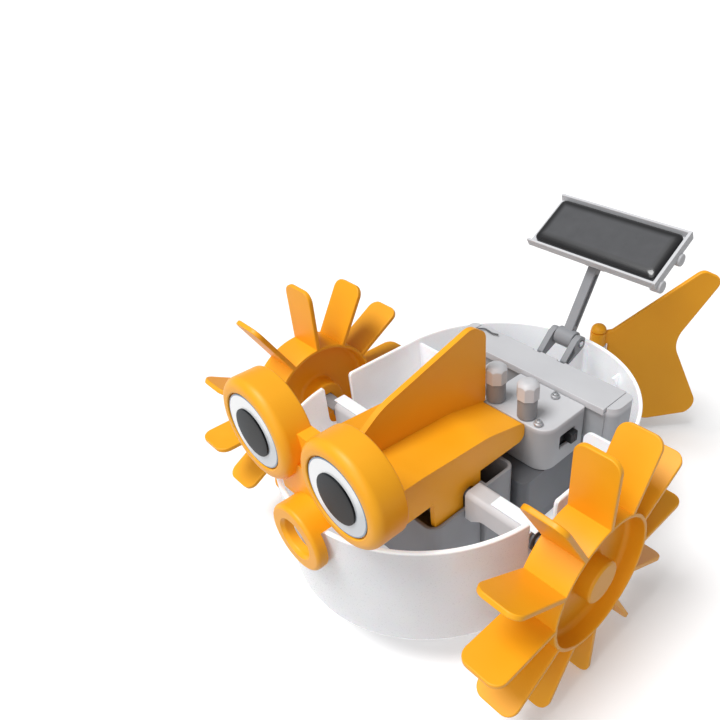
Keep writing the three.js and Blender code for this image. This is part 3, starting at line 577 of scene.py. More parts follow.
def hullPiece():
    body = makeHull()
    inner = hull["radius"] - hull["wall"]
    rear = hull["radius"] + hull["straight"]
    lug = prism([(-3.2, rear - 1.2), (3.2, rear - 1.2), (3.2, rear + 4.5), (4.6, tail["y"]),
                 (4.6, tail["y"] + 4.6, 4.4), (-4.6, tail["y"] + 4.6, 4.4), (-4.6, tail["y"]),
                 (-3.2, rear + 4.5)], "XY", tail["lugBottom"], tail["lugTop"], 10)
    gusset = prism([(rear - 1, 27), (rear + 3, 37.6), (rear - 1, 37.6)], "YZ", -1, 1)
    low, wide = hull["floor"] - 0.4, inner + 0.6
    ribs = [prism([(side * 40, low), (side * wide, low), (side * wide, 49), (side * 40, 49, 4)],
                  "XZ", 25.5, 26.9, 8) for side in (1, -1)]
    boss = prism([(-4.2, rear - 5.4, 1), (4.2, rear - 5.4, 1), (4.2, rear - 1.4),
                  (-4.2, rear - 1.4)], "XY", 34, 49.5)
    web = prism([(67.4, 46.5), (73.2, 38), (73.2, 46.5)], "YZ", 25.2, 26.3)
    join(body, lug, gusset, boss, web, *ribs)
    cut(body, notchTool(1), notchTool(-1), rod(2.3, 30, 46, "Z", 0, tail["y"], 40))
    finishPiece(body, "hullTub", "hull", "frosted_hull", frosted, "hull_bowl", smooth=28)


hullPiece()


print("paddle wheels")
wheel = {"inner": 67.2, "outer": 84.2, "drum": 26.2, "wall": 1.5, "web": 2, "boss": 8.1,
         "back": 1.2, "tip": 52.8, "blades": 12, "thick": 2, "corner": 4.5, "hex": 3.58}


def wheelPiece(side, name):
    middle = (wheel["inner"] + wheel["outer"]) / 2
    inner, outer = wheel["inner"], wheel["outer"]
    drum, bore = wheel["drum"], wheel["drum"] - wheel["wall"]
    boss, half = wheel["boss"], wheel["web"] / 2
    body = turned([
        (boss, inner - wheel["back"], 0.8), (boss - 0.2, middle - half, 1.6),
        (bore, middle - half, 2.2), (bore, inner, 0.5), (drum, inner, 0.5),
        (drum, outer, 0.5), (bore, outer, 0.5), (bore, middle + half, 2.2),
        (boss - 0.2, middle + half, 1.6), (boss, outer, 1.1),
    ], "X", axle["y"], axle["z"], 96)
    y, z = axle["y"], axle["z"]
    root, tip, corner = z + drum - 0.9, z + wheel["tip"], wheel["corner"]
    blade = prism([(inner, root), (outer, root), (outer, tip, corner), (inner, tip, corner)],
                  "XZ", y - wheel["thick"] / 2, y + wheel["thick"] / 2, 8)
    eased(blade, 0.45, 3)
    pick(blade)
    bpy.ops.object.mode_set(mode="EDIT")
    for index in range(1, wheel["blades"]):
        bpy.ops.mesh.select_all(action="DESELECT")
        bpy.ops.object.mode_set(mode="OBJECT")
        count = len(blade.data.vertices) // index
        for vertex in blade.data.vertices[:count]:
            vertex.select = True
        bpy.ops.object.mode_set(mode="EDIT")
        bpy.ops.mesh.select_linked()
        bpy.ops.mesh.duplicate()
        bpy.ops.transform.rotate(value=-math.tau * index / wheel["blades"], orient_axis="X",
                                 center_override=(0, y, z))
    bpy.ops.object.mode_set(mode="OBJECT")
    join(body, blade)
    socket = rod(wheel["hex"], inner - 5, outer - 3.6, "X", y, z, 6)
    cut(body, socket)
    if side < 0:
        mirrored(body)
    finishPiece(body, f"{name}PaddleWheel", "drive_axle", "orange_plastic", orange,
                f"paddle_wheel_{name}")


wheelPiece(1, "right")
wheelPiece(-1, "left")


print("face")
eye = {"x": 22.8, "z": 76.2, "front": -80.2, "depth": 12, "cup": 19.3, "white": 14.1,
       "pupil": 9, "edge": 3.2, "floor": 1.2, "shade": 8.5, "drop": 0.3}
mouth = {"z": 45, "outer": 13.2, "hole": 7.2, "front": -85, "back": -80.9}
face = {"plate": -76, "rimGap": 52.5}


def eyeCup(side):
    front, back = eye["front"], eye["front"] + eye["depth"]
    rim = eye["white"] + 0.3
    return turned([
        (rim, front + eye["floor"]), (rim, front, 0.5), (eye["cup"], front, eye["edge"]),
        (eye["cup"], back, 0.6), (eye["cup"] - 2, back, 0.5), (eye["cup"] - 2, back - 8, 1.5),
    ], "Y", side * eye["x"], eye["z"], 96)


def facePiece():
    back = eye["front"] + eye["depth"]
    plate, low = face["plate"], face["rimGap"]
    nose = prism([(-17, low, 0.8), (17, low, 0.8), (18, 60), (8, 70, 4), (-8, 70, 4), (-18, 60)],
                 "XZ", plate, back)
    bridge = block(-7, 7, plate + 2, back, 66, 82)
    snout = turned([
        (mouth["outer"], mouth["front"], 1.5), (mouth["outer"], plate + 1),
    ], "Y", 0, mouth["z"], 96)
    cut(snout, block(-20, 20, mouth["back"], plate + 3, mouth["z"] - 20, low))
    hole = turned([
        (mouth["hole"] + 1.6, mouth["front"] - 1), (mouth["hole"] + 1.1, mouth["front"], 0),
        (mouth["hole"], mouth["front"] + 1.2, 1), (mouth["hole"], mouth["back"] + 1),
    ], "Y", 0, mouth["z"], 64)
    cut(snout, hole)
    body = join(nose, bridge, snout, eyeCup(1), eyeCup(-1))
    finishPiece(body, "faceShell", "hull", "orange_plastic", orange, "face_mask")


facePiece()


def eyeOffsets(finish, side):
    spot = origin + Vector((side * eye["x"], eye["front"], eye["z"])) * mm
    across, _, height = finish.offsets(spot)
    return across, height


def eyeFinish(side):
    # white disc with a soft grey shade low on one side and a thin blue-grey edge
    finish = Finish("eyeDiscRight" if side > 0 else "eyeDiscLeft", Roughness=0.22,
                    Coat_Weight=0.5, Coat_Roughness=0.1)
    across, height = eyeOffsets(finish, side)
    far = (across * across + height * height) ** 0.5
    shade = finish.ramp(across * 0.75 - height, 0.0, eye["shade"] * mm)
    edge = finish.ramp(far, (eye["white"] - 0.8) * mm, (eye["white"] - 0.55) * mm)
    white = finish.mix(shade, linear(252, 253, 254), linear(196, 202, 208))
    white = finish.mix(0.04 * finish.noise(900, 2), white, linear(225, 228, 232))
    finish.feed(Base_Color=finish.mix(edge, white, linear(96, 122, 146)))
    finish.bump(finish.noise(1500, 2), 0.03, 0.0001)
    return finish.material


def pupilFinish(side):
    # near black, with a printed grey glow on the upper left
    finish = Finish("pupilRight" if side > 0 else "pupilLeft", Roughness=0.4,
                    Specular_IOR_Level=0.15)
    across, height = eyeOffsets(finish, side)
    glow = finish.ramp(height * 0.55 - across, 0.0, eye["shade"] * mm)
    glow = glow + 0.08 * (finish.noise(1600, 2) - 0.5)
    finish.feed(Base_Color=finish.mix(glow, linear(5, 8, 12), linear(26, 32, 38)))
    finish.bump(finish.noise(1500, 2), 0.03, 0.0001)
    return finish.material


for side, name in ((1, "right"), (-1, "left")):
    floorY = eye["front"] + eye["floor"]
    reach = eye["white"] - 0.1
    disc = turned([(reach, floorY - gap, 0), (reach, floorY - 0.85, 0.25)],
                  "Y", side * eye["x"], eye["z"], 96)
    finishPiece(disc, f"{name}EyeDisc", "hull", "eye_white", eyeFinish(side), f"eye_white_{name}")
    pupil = turned([(eye["pupil"], floorY - 0.9), (eye["pupil"], floorY - 1.5, 0.2),
                    (eye["pupil"] - 2, floorY - 1.65)],
                   "Y", side * eye["x"], eye["z"] - eye["drop"], 80)
    finishPiece(pupil, f"{name}Pupil", "hull", "eye_pupil", pupilFinish(side), f"pupil_{name}")


print("back")
back = {"half": 22.4, "wall": 2.3, "front": -67.9, "rear": 9.4, "bottom": 44.5, "fin": 1.25,
        "leg": (-41, -16.5, 30)}


def backOutline(inset):
    top = 60.4 - inset
    rear, low = back["rear"] - inset, back["bottom"] - (2 if inset else 0)
    return [(back["front"] + inset, low), (rear, low, 0 if inset else 3.4), (rear, 53 - inset, 3.4),
            (-12, top - 2.2, 40), (-46, top, 40), (back["front"] + inset, top)]


def backPiece():
    half, wall = back["half"], back["wall"]
    body = prism(backOutline(0), "YZ", -half, half, 10)
    cut(body, prism(backOutline(wall), "YZ", wall - half, half - wall, 10))
    fin = prism([
        (back["front"], 58.6), (back["front"], 61), (-60, 67, 20), (-44, 78, 30), (2, 91, 7),
        (9.2, 86, 5), (9.2, 53.4), (5, 52.6), (-12, 57),
    ], "YZ", -back["fin"], back["fin"], 10)
    front, rear, low = back["leg"]
    legs = [prism([(front, low, 3), (rear, low, 1.2), (rear, 47), (front, 47)], "YZ",
                  *sided(side, half - wall, half))
            for side in (1, -1)]
    join(body, fin, *legs)
    slot = prism([(axle["y"] - 3.2, low - 4), (axle["y"] + 3.2, low - 4),
                  (axle["y"] + 3.2, axle["z"] + 3.2, 3), (axle["y"] - 3.2, axle["z"] + 3.2, 3)],
                 "YZ", -40, 40, 8)
    cut(body, slot)
    eased(body, 0.8, 3, 40)
    finishPiece(body, "backShell", "hull", "orange_plastic", orange, "back_shell")


backPiece()


print("tail")
tailShape = {"thick": 2.4, "barrel": 4, "barrelTop": 49.6, "pin": 1.8, "pinHole": 2.1,
             "pinHead": 3.8, "domeTop": 53.4}


def tailPiece():
    y = tail["y"]
    half = tailShape["thick"] / 2
    low, high = tail["lugTop"] + gap, tailShape["barrelTop"]
    outline = [(2.5, low), (2.5, high), (7, high + 0.6), (47.6, 80, 5), (59, 74.6, 4.6),
               (39.4, 41, 14), (59.4, 0.6, 7.4), (54, -4.8, 4.4), (31, -7, 9), (11.4, 2, 16),
               (5.3, 36), (5.3, low)]
    body = prism([(y + along, height, *corner) for along, height, *corner in outline],
                 "YZ", -half, half, 10)
    eased(body, 0.7, 3, 40)
    join(body, rod(tailShape["barrel"], low, high, "Z", 0, y, 64))
    cut(body, rod(tailShape["pinHole"], low - 10, high + 10, "Z", 0, y, 48))
    spin(body, tail["turn"], "Z", (0, y, 0))
    finishPiece(body, "tailRudder", "tail", "orange_plastic", orange, "tail_fin")
    stem, head = tailShape["pin"], tailShape["pinHead"]
    pin = turned([
        (stem, tail["lugBottom"] - 1.5, 0.4), (stem, high + gap), (head, high + gap, 0.4),
        (head, tailShape["domeTop"], 2.9),
    ], "Z", 0, y, 64)
    finishPiece(pin, "tailPinDome", "hull", "orange_plastic", orange, "tail_pin")


tailPiece()


print("chassis")
housing = {"half": 26.8, "front": -18.1, "step": -0.7, "rear": 32.2, "right": -3, "low": 2.3,
           "top": 40, "wall": 1.6}
tower = {"half": 24.5, "front": -44, "rear": -18.4, "top": 33, "corner": 5}
cradle = {"left": -2.4, "right": 31.3, "front": -0.3, "rear": 35, "top": 30.6, "wall": 1.8}
sleeve = {"start": 24.8, "end": 55, "half": 4.6, "top": 42.2, "low": 29, "wall": 1.5,
          "bore": 3.6}
bush = {"radius": 3.3, "rim": 4.4, "bore": 2.3, "inside": 3, "outside": 1.4}
pad = {"start": 36, "end": 57, "half": 2.8, "low": 42.5, "high": 43.1}


def housingPiece():
    half, wall = housing["half"], housing["wall"]
    front, step, rear, right = (housing[key] for key in ("front", "step", "rear", "right"))
    low, top = housing["low"], housing["top"]
    body = prism([(-half, front, 1), (half, front, 1), (half, step, 4), (right, step, 1),
                  (right, rear, 2), (-half, rear, 2)], "XY", low, top)
    cut(body, prism([
        (-half + wall, front + wall), (half - wall, front + wall), (half - wall, step - wall, 2.4),
        (right - wall, step - wall), (right - wall, rear - wall, 0.8),
        (-half + wall, rear - wall, 0.8)], "XY", low + wall, top + 1))
    cut(body, block(-18.5, -8.5, front - 1, front + wall + 1, 15, top + 1),
        rod(motor["opening"], right - wall - 1, right + 1, "X", motor["y"], motor["z"]))
    for start in (19.8, -22.7):  # room for the legs of the back
        cut(body, block(start, start + 2.9, front - 1, -16.2, 29.7, top + 1))
    eased(body, 0.4)
    finishPiece(body, "gearBoxShell", "hull", "grey_plastic", midGrey, "gear_housing")


def towerPiece():
    half, front, rear, corner = (tower[key] for key in ("half", "front", "rear", "corner"))
    wall, low = housing["wall"], housing["low"]
    body = prism([(-half, front, corner), (half, front, corner), (half, rear), (-half, rear)],
                 "XY", low, tower["top"], 10)
    cut(body, prism([(-half + wall, front + wall, 3.2), (half - wall, front + wall, 3.2),
                     (half - wall, rear + 2), (-half + wall, rear + 2)],
                    "XY", low + wall, tower["top"] + 1, 10))
    eased(body, 0.5)
    finishPiece(body, "frontTowerShell", "hull", "grey_plastic", midGrey, "front_tower")


def cradlePiece():
    left, right, front, rear = (cradle[key] for key in ("left", "right", "front", "rear"))
    wall, low, top = cradle["wall"], housing["low"], cradle["top"]
    body = prism([(left, front, 1), (right, front, 4), (right, rear, 2), (left, rear, 1)],
                 "XY", low, top, 10)
    cut(body, block(left + wall, right - wall, front + wall, rear - wall, low - 1, top - wall))
    eased(body, 0.5)
    finishPiece(body, "motorStand", "hull", "grey_plastic", deepGrey, "motor_cradle")


def sleevePiece(side, name):
    start, end, half, top, low, wall = (sleeve[key] for key in (
        "start", "end", "half", "top", "low", "wall"))
    y = axle["y"]
    body = prism([(y - half, low), (y + half, low), (y + half, top, 2.2), (y - half, top, 2.2)],
                 "YZ", start, end, 8)
    cut(body, prism([(y - half + wall, low - 1), (y + half - wall, low - 1),
                     (y + half - wall, top - wall, 1), (y - half + wall, top - wall, 1)],
                    "YZ", start + wall, end - wall, 8))
    cut(body, prism([(start + 3, low - 2), (end - 3, low - 2), (end - 3, low, 1),
                     (end - 7, low + 3.4, 5), (start + 8, low + 3.4, 5), (start + 3, low, 1)],
                    "XZ", y - half - 1, y - half + wall + 0.5, 8))
    cut(body, rod(sleeve["bore"], start - 1, end + 1, "X", y, axle["z"]))
    eased(body, 0.35, 3, 40)
    radius, rim, last = bush["radius"], bush["rim"], end + bush["outside"]
    flange = turned([(radius, end - bush["inside"], 0.2), (radius, end + gap),
                     (rim, end + gap, 0.3), (rim, last, 0.3)], "X", y, axle["z"], 64)
    cut(flange, rod(bush["bore"], end - 6, end + 3, "X", y, axle["z"]))
    strip = block(pad["start"], pad["end"], y - pad["half"], y + pad["half"], pad["low"],
                  pad["high"])
    eased(strip, 0.25)
    for piece in (body, flange, strip):
        if side < 0:
            mirrored(piece)
    finishPiece(body, f"{name}AxleSleeve", "hull", "light_grey_plastic", paleGrey,
                f"axle_sleeve_{name}")
    finishPiece(flange, f"{name}AxleBush", "hull", "grey_plastic", deepGrey, f"axle_bush_{name}")
    finishPiece(strip, f"{name}SleevePad", "hull", "frosted_hull", frosted, f"axle_clip_{name}")


housingPiece()
towerPiece()
cradlePiece()
sleevePiece(1, "right")
sleevePiece(-1, "left")


print("motor cover")
cover = {"left": -2.4, "right": 33, "front": 9.8, "rear": 36, "low": 31, "top": 52, "wall": 1.6}
post = {"y": 14.2, "xs": (2.6, 19.4), "radius": 4.1, "height": 9, "cap": 4.75, "capHeight": 7.8}
screw = {"spots": ((26.6, 12.6), (20, 32)), "ring": 1.9, "head": 1.3}


def coverPiece():
    left, right, front, rear = (cover[key] for key in ("left", "right", "front", "rear"))
    low, top, wall = cover["low"], cover["top"], cover["wall"]
    body = prism([(left, front, 3), (right, front, 7), (right, rear, 1.2), (left, rear, 1.2)],
                 "XY", low, top, 12)
    cut(body, prism([
        (left + wall, front + wall, 1.5), (right - wall, front + wall, 5.4),
        (right - wall, rear - wall), (left + wall, rear - wall)], "XY", low - 1, top - wall, 12))
    cut(body, block(right - 3, right + 1, 19.5, 29.5, 38.8, 45.2),
        rod(motor["opening"], left - 1, left + wall + 1, "X", motor["y"], motor["z"]))
    eased(body, 0.5)
    finishPiece(body, "motorCoverShell", "hull", "light_grey_plastic", paintedShadeGrey,
                "motor_cover")


def postPieces(x, name):
    y, low = post["y"], cover["top"] + gap
    high = low + post["height"]
    stem = turned([(post["radius"], low, 0.4), (post["radius"], high, 0.3)], "Z", x, y, 64)
    finishPiece(stem, f"{name}Post", "hull", "grey_plastic", midGrey, f"terminal_post_{name}")
    bottom, reach = high + gap, post["cap"]
    angles = [math.tau * (step + 0.5) / 8 for step in range(8)]
    corners = [(x + reach * math.cos(angle), y + reach * math.sin(angle), 0.5)
               for angle in angles]
    knob = prism(corners, "XY", bottom, bottom + post["capHeight"], 4)
    dome = turned([(reach + 0.4, bottom - 1), (reach + 0.4, bottom + post["capHeight"], 3.8)],
                  "Z", x, y, 64)
    boolean(knob, [dome], "INTERSECT")
    eased(knob, 0.2, 2, 25)
    finishPiece(knob, f"{name}PostCap", "hull", "light_grey_plastic", paleGrey,
                f"post_cap_{name}", smooth=28)


def screwPiece(x, y, name):
    low = cover["top"] + gap
    body = turned([(screw["ring"], low, 0.2), (screw["ring"], low + 1.2, 0.4),
                   (screw["head"], low + 1.2), (screw["head"], low + 2.2, 0.6)], "Z", x, y, 48)
    cut(body, block(x - 1.6, x + 1.6, y - 0.2, y + 0.2, low + 1.7, low + 3),
        block(x - 0.2, x + 0.2, y - 1.6, y + 1.6, low + 1.7, low + 3))
    finishPiece(body, f"{name}CoverScrew", "hull", "steel", satinZinc, f"cover_screw_{name}")


coverPiece()
for x, name in zip(post["xs"], ("left", "right")):
    postPieces(x, name)
for (x, y), name in zip(screw["spots"], ("front", "rear")):
    screwPiece(x, y, name)

slider = {"plate": (29, 31.1, 22.5, 29.2, 37.5, 46.5), "knob": (30.8, 35.2, 24.6, 28.9, 39.4, 44.6),
          "grips": (25.3, 26.5, 27.7), "grip": 0.4}
switch = eased(block(*slider["knob"]), 0.5)
join(switch, eased(block(*slider["plate"]), 0.2))
for start in slider["grips"]:
    cut(switch, block(34.9, 36, start, start + slider["grip"], 39, 45))
finishPiece(switch, "switchKnob", "switch_knob", "black_plastic", blackPlastic, "switch_slider")


print("battery box")
cellBox = {"half": 41.2, "end": 45.8, "front": 37.6, "rear": 54.4, "low": 34.4, "top": 51.7,
           "wall": 1.1}
lid = {"half": 41.1, "front": 36.4, "rear": 53.6, "low": 52, "top": 54, "lip": 1.2}
stand = {"half": 30, "front": 39, "rear": 53, "low": 2.3, "top": 34.1}
aaCell = {"y": 46, "z": 43.3, "radius": 7, "half": 25.25, "wrapStart": -23.6, "band": -16.5,
          "wrapEnd": 24.2}


def boxPiece():
    half, end, front, rear = (cellBox[key] for key in ("half", "end", "front", "rear"))
    low, top, wall = cellBox["low"], cellBox["top"], cellBox["wall"]
    body = block(-half, half, front, rear, low, top)
    for side in (1, -1):
        outline = [(half - 1, front + 0.6), (end, front + 0.6, 5), (end, rear - 1.4, 3),
                   (half - 1, rear - 1.4)]
        cheek = prism([(side * x, *rest) for x, *rest in outline], "XY", low, lid["top"], 10)
        join(body, cheek)
    cut(body, block(-half - 0.2, half + 0.2, front - 1, rear + 1, top, lid["top"] + 1),
        block(-half + 8, half - 8, front + wall, rear - wall, low + 1.4, top + 1))
    eased(body, 0.4)
    finishPiece(body, "cellBoxShell", "hull", "light_grey_plastic", paintedShadeGrey, "battery_box")


def lidPiece():
    half, front, rear = lid["half"], lid["front"], lid["rear"]
    body = block(-half, half, front, rear, lid["low"], lid["top"])
    join(body, block(-half, half, front, front + 1, lid["low"] - lid["lip"], lid["top"] - 0.5))
    for side in (1, -1):
        cut(body, block(side * 6.8 - 2, side * 6.8 + 2, rear - 1, rear + 1, lid["low"] - 1,
                        lid["top"] + 1))
    eased(body, 0.3)
    finishPiece(body, "cellLid", "lid", "light_grey_plastic", paleGrey, "battery_lid")


def standPiece():
    body = block(-stand["half"], stand["half"], stand["front"], stand["rear"], stand["low"],
                 stand["top"])
    for x in (-18, 0, 18):
        cut(body, block(x - 7.5, x + 7.5, stand["front"] - 2, stand["rear"] + 2,
                        stand["low"] - 1, stand["top"] - 3))
    eased(body, 0.5)
    finishPiece(body, "cellStand", "hull", "grey_plastic", deepGrey, "battery_stand")


def cellWrapFinish():
    # printed sleeve with a brighter band, bare metal past its two ends
    finish = Finish("cellWrap", Coat_Weight=0.3)
    along = finish.node("ShaderNodeSeparateXYZ", {}, {"Vector": finish.place}, "X")
    first, band, last = (aaCell[key] for key in ("wrapStart", "band", "wrapEnd"))
    fade = 0.2
    band = finish.ramp(along, band * mm, (band + fade) * mm)
    bare = (finish.ramp(along, last * mm, (last + fade) * mm)
            + finish.ramp(along, first * mm, (first - fade) * mm))
    ink = finish.mix(finish.noise(300, 2), linear(36, 120, 66), linear(46, 138, 80))
    ink = finish.mix(band, linear(206, 170, 92), ink)
    finish.feed(Base_Color=finish.mix(bare, ink, linear(196, 198, 202)), Metallic=bare,
                Roughness=0.28 + 0.1 * finish.noise(1200, 2))
    finish.bump(finish.noise(1500, 2), 0.03, 0.0001)
    return finish.material


def wire(points, plane, depth, thickness):
    # a round bar along a line drawn in one plane
    drawLine(roundCorners(points), plane, depth, False)
    bpy.ops.object.mode_set(mode="OBJECT")
    bpy.ops.object.convert(target="CURVE")
    bpy.context.object.data.bevel_depth = thickness / 2
    bpy.context.object.data.bevel_resolution = 4
    bpy.context.object.data.use_fill_caps = True
    bpy.ops.object.convert(target="MESH")
    return settle()


boxPiece()
lidPiece()
standPiece()
power = turned([
    (2.6, -aaCell["half"], 0.3), (2.6, 1.4 - aaCell["half"]), (6.2, 1.2 - aaCell["half"]),
    (aaCell["radius"], 2.2 - aaCell["half"], 0.6), (aaCell["radius"], aaCell["half"], 0.7),
], "X", aaCell["y"], aaCell["z"], 72)
finishPiece(power, "powerCell", "hull", "cell_wrap", cellWrapFinish(), "aa_battery")
finishPiece(cadCopy("battery_spring"), "contactSpring", "hull", "steel", steel, "battery_spring",
            smooth=60)
contactShape = {"plate": (-32.9, -32.4, 41, 51, 38, 50), "nub": (-32.5, -32.1, 44, 48, 41.5, 45.5),
                "soft": 0.15}
contact = eased(block(*contactShape["plate"]), contactShape["soft"])
join(contact, eased(block(*contactShape["nub"]), contactShape["soft"]))
finishPiece(contact, "contactPlate", "hull", "brass", brass, "battery_plate")
linkShape = {"height": 55, "thick": 0.8, "path": [
    (-40.5, 40.7), (-40.6, 46, 3), (-36.5, 50, 2.5), (-31, 49, 3), (-28, 50)]}
link = wire(linkShape["path"], "XY", linkShape["height"], linkShape["thick"])
finishPiece(link, "linkWire", "lid", "wire", deepGrey, "jumper_wire")


print("drive train")


def motorPiece():
    y, z, left = motor["y"], motor["z"], motor["left"]
    wide, high = motor["width"] / 2, motor["height"] / 2
    right = left + motor["length"]
    body = prism([(y - wide, z - high, 6.9), (y + wide, z - high, 6.9), (y + wide, z + high, 6.9),
                  (y - wide, z + high, 6.9)], "YZ", left, right, 12)
    join(body, turned([(3, right - 0.5), (3, right + 2, 0.5)], "X", y, z, 48))
    cut(body, block(left + 6, left + 9, y - wide - 1, y - wide + 0.4, z - 2, z + 2))
    eased(body, 0.4, 3, 40)
    finishPiece(body, "motorBody", "hull", "steel", steel, "motor_can")


def axlePiece():
    y, z = axle["y"], axle["z"]
    body = rod(axle["radius"], -axle["half"], axle["half"], "X", y, z, 64)
    for side in (1, -1):
        ends = sided(side, axle["hexStart"], axle["hexEnd"])
        join(body, eased(rod(axle["hex"], *ends, "X", y, z, 6), 0.25))
    finishPiece(body, "axleBar", "drive_axle", "grey_plastic", midGrey, "axle_rod")


motorPiece()
axlePiece()
for node, name, body, slotName, material in (
        ("axle_gear", "axleGearWheel", "drive_axle", "gear_plastic", nylon),
        ("gear_two", "secondGearWheel", "second_gear", "gear_plastic", nylon),
        ("gear_one", "firstGearWheel", "first_gear", "gear_plastic", nylon),
        ("motor_pinion", "pinionGear", "motor_rotor", "brass", brass)):
    finishPiece(eased(cadCopy(node), 0.12, 2, 40), name, body, slotName, material, node)


def pinPiece(node, name, body, radius, grow):
    # a turned pin that fills its CAD node's length
    low, high = nodeBox(node)
    y, z = (low.y + high.y) / 2, (low.z + high.z) / 2
    start, end = low.x + 0.02, high.x - 0.02
    pin = turned([(radius, start, grow), (radius, end, grow)], "X", y, z, 48)
    finishPiece(pin, name, body, "steel", steel, node)


pinPiece("gear_one_pin", "firstGearPin", "hull", 1.2, 0.3)
pinPiece("gear_two_pin", "secondGearPin", "hull", 1.2, 0.3)
pinPiece("arm_hinge_pin", "armPin", "hull", 1.5, 0.4)
pinPiece("tray_pin", "trayPin", "arm", 1, 0.3)


print("solar panel")
yoke = {"inner": 5.1, "outer": 8.1, "back": 54.7, "pinY": 66, "pinZ": 58}
tray = {"y": 90, "z": 98.2, "tilt": 30, "half": 34, "deep": 15, "plate": 1.6, "lip": 2.8,
        "pinAlong": -9.5, "pinBelow": 5}
solar = {"left": -31.9, "right": 31.9, "half": 12.5, "low": 0.3, "shoulder": 1.6, "high": 3.25,
         "soft": 4.6, "corner": 2.4, "flatRing": 0.4}
lean = math.radians(tray["tilt"])
pinSpot = (
    tray["y"] + tray["pinAlong"] * math.cos(lean) + tray["pinBelow"] * math.sin(lean),
    tray["z"] + tray["pinAlong"] * math.sin(lean) - tray["pinBelow"] * math.cos(lean))


def yokePiece():
    y, z, back = yoke["pinY"], yoke["pinZ"], yoke["back"]
    body = block(-yoke["outer"], yoke["outer"], back, back + 2, 40, 51)
    for side in (1, -1):
        outline = [(back, 40), (back + 2, 40), (back + 2, 50.4), (y + 0.4, z - 3.8, 1.5),
                   (y + 3, z - 2.2, 1.5), (y + 3, z + 2.2, 2), (y - 0.4, z + 3.8, 2),
                   (y - 3.6, z + 2.6), (back, 53.2, 1)]
        cheek = prism(outline, "YZ", *sided(side, yoke["inner"], yoke["outer"]))
        pocket = sided(side, yoke["outer"] - 1.1, yoke["outer"] + 1)
        cut(cheek, prism([(back + 1.6, 51), (back + 1.9, 51.6), (y - 4.4, z - 3.4),
                          (y - 5, z + 0.6), (back + 1.2, 52.7)], "YZ", *pocket))
        join(body, cheek)
    cut(body, rod(1.8, -20, 20, "X", y, z))
    eased(body, 0.4)
    finishPiece(body, "panelBracket", "hull", "grey_plastic", midGrey, "panel_yoke")


def armPiece():
    y, z = yoke["pinY"], yoke["pinZ"]
    reach = math.hypot(pinSpot[0] - y, pinSpot[1] - z)
    tip = math.degrees(math.atan2(pinSpot[0] - y, pinSpot[1] - z))
    body = eased(block(-2.3, 2.3, y - 2.2, y + 2.2, z + 1, z + reach - 1), 0.4)
    cut(body, eased(block(1.1, 4, y - 1.2, y + 1.2, z + 6.4, z + reach - 5), 0.2))
    join(body, turned([(4.3, -4.8, 0.6), (4.3, 4.8, 0.6)], "X", y, z, 72),
         turned([(2.9, -2.3, 0.4), (2.9, 2.3, 0.4)], "X", y, z + reach, 56))
    cut(body, rod(1.8, -20, 20, "X", y, z), rod(1.3, -20, 20, "X", y, z + reach))
    spin(body, tip, "X", (0, y, z))
    finishPiece(body, "panelArm", "arm", "grey_plastic", midGrey, "solar_arm")


def trayPiece():
    y, z, half, deep = tray["y"], tray["z"], tray["half"], tray["deep"]
    plate, lip = tray["plate"], tray["lip"]
    outline = [(-deep, -plate, 0.8), (deep, -plate, 0.8), (deep, lip, 0.4), (deep - 1.1, lip, 0.4),
               (deep - 1.9, 0, 0.5), (1.9 - deep, 0, 0.5), (1.1 - deep, lip, 0.4),
               (-deep, lip, 0.4)]
    body = prism([(y + a, z + b, *corner) for a, b, *corner in outline], "YZ", -half, half)
    join(body, eased(block(half - 1.5, half, y - deep + 0.2, y + deep - 0.2, z - plate + 0.2,
                           z + lip - 0.1), 0.3))
    pinY, pinZ = y + tray["pinAlong"], z - tray["pinBelow"]
    for x0 in (2.7, -4.9):
        ear = prism([(pinY - 2.8, pinZ - 2.8, 2.7), (pinY + 2.8, pinZ - 2.8, 2.7),
                     (pinY + 2.8, z - plate + 0.3), (pinY - 2.8, z - plate + 0.3)],
                    "YZ", x0, x0 + 2.2, 8)
        join(body, eased(ear, 0.25))
    for along in (-11.4, 4):
        join(body, turned([(2.8, half - 4, 0.4), (2.8, half + 1, 0.5)], "X", y + along, z - 3.2,
                          48))
    cut(body, rod(1.3, -20, 20, "X", pinY, pinZ))
    spin(body, -tray["tilt"], "X", (0, y, z))
    finishPiece(body, "panelTray", "panel", "grey_plastic", paleGrey, "solar_tray")


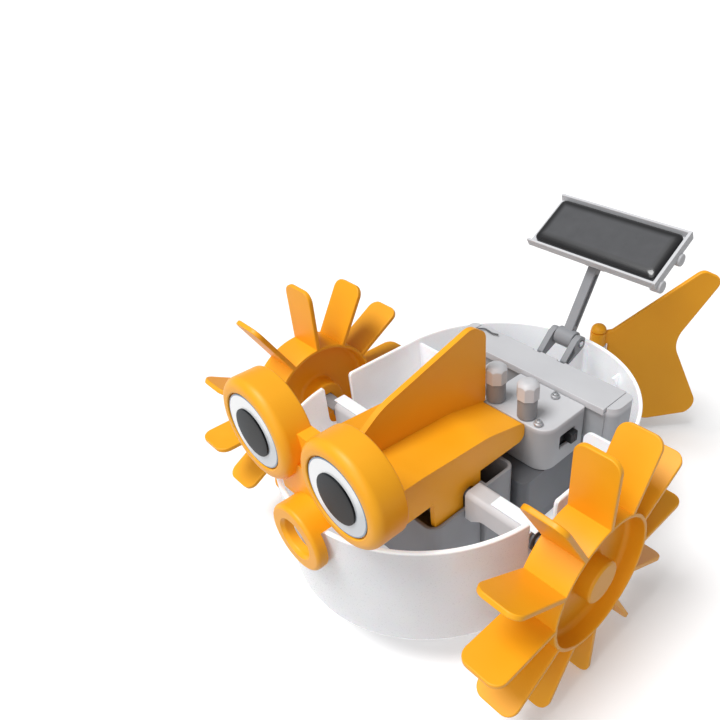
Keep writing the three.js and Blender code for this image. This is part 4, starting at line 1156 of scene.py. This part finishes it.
def solarFinish():
    # a matte grey face under clear resin that turns glossy black round its soft edges
    finish = Finish("solarCell", Coat_Roughness=0.06)
    spot = origin + Vector(((solar["left"] + solar["right"]) / 2, tray["y"], tray["z"])) * mm
    across, behind, above = finish.offsets(spot)
    along = behind * math.cos(lean) + above * math.sin(lean)
    wide = (solar["right"] - solar["left"]) / 2
    toEnd = wide * mm - across.maths("ABSOLUTE", across, 0)
    toSide = solar["half"] * mm - across.maths("ABSOLUTE", along, 0)
    flat = finish.ramp(across.maths("MINIMUM", toEnd, toSide), 0.0022, 0.0048)
    cloud = finish.noise(160, 3)
    face = finish.mix(cloud, linear(62, 63, 66), linear(76, 77, 80))
    edge = finish.mix(cloud, linear(14, 14, 16), linear(26, 26, 29))
    finish.feed(Base_Color=finish.mix(flat, edge, face),
                Roughness=finish.ramp(flat, 0, 1, 0.3, 0.58) + 0.04 * finish.noise(1500, 2),
                Coat_Weight=finish.ramp(flat, 0, 1, 0.5, 0.05))
    finish.bump(finish.noise(420, 2), 0.05, 0.0001)
    return finish.material


def solarPiece():
    # the outline rises straight to the shoulder, then curves inwards to a flat top
    y, z, half = tray["y"], tray["z"], solar["half"]
    left, right, corner = solar["left"], solar["right"], solar["corner"]
    middle, wide = (left + right) / 2, (right - left) / 2
    rise, soft = solar["high"] - solar["shoulder"], solar["soft"]
    levels = [(0, solar["shoulder"])]
    levels += [(soft * (1 - math.cos(angle)), solar["shoulder"] + rise * math.sin(angle))
               for angle in quarter(9)[1:]]
    levels.append((soft + solar["flatRing"], solar["high"]))
    drawLine(roundCorners([(left, y - half, corner), (right, y - half, corner),
                           (right, y + half, corner), (left, y + half, corner)], 8),
             "XY", z + solar["low"], True)
    bpy.ops.mesh.edge_face_add()
    lastInset, lastHeight = 0, solar["low"]
    for inset, height in levels:
        bpy.ops.mesh.extrude_region_move(
            TRANSFORM_OT_translate={"value": (0, 0, height - lastHeight)})
        bpy.ops.transform.resize(
            value=((wide - inset) / (wide - lastInset), (half - inset) / (half - lastInset), 1),
            center_override=(middle, y, z))
        lastInset, lastHeight = inset, height
    bpy.ops.mesh.select_all(action="SELECT")
    bpy.ops.mesh.normals_make_consistent(inside=False)
    bpy.ops.object.mode_set(mode="OBJECT")
    body = settle()
    spin(body, -tray["tilt"], "X", (0, y, z))
    finishPiece(body, "solarPad", "panel", "solar_glass", solarFinish(), "solar_cell",
                smooth=50)


yokePiece()
armPiece()
trayPiece()
solarPiece()
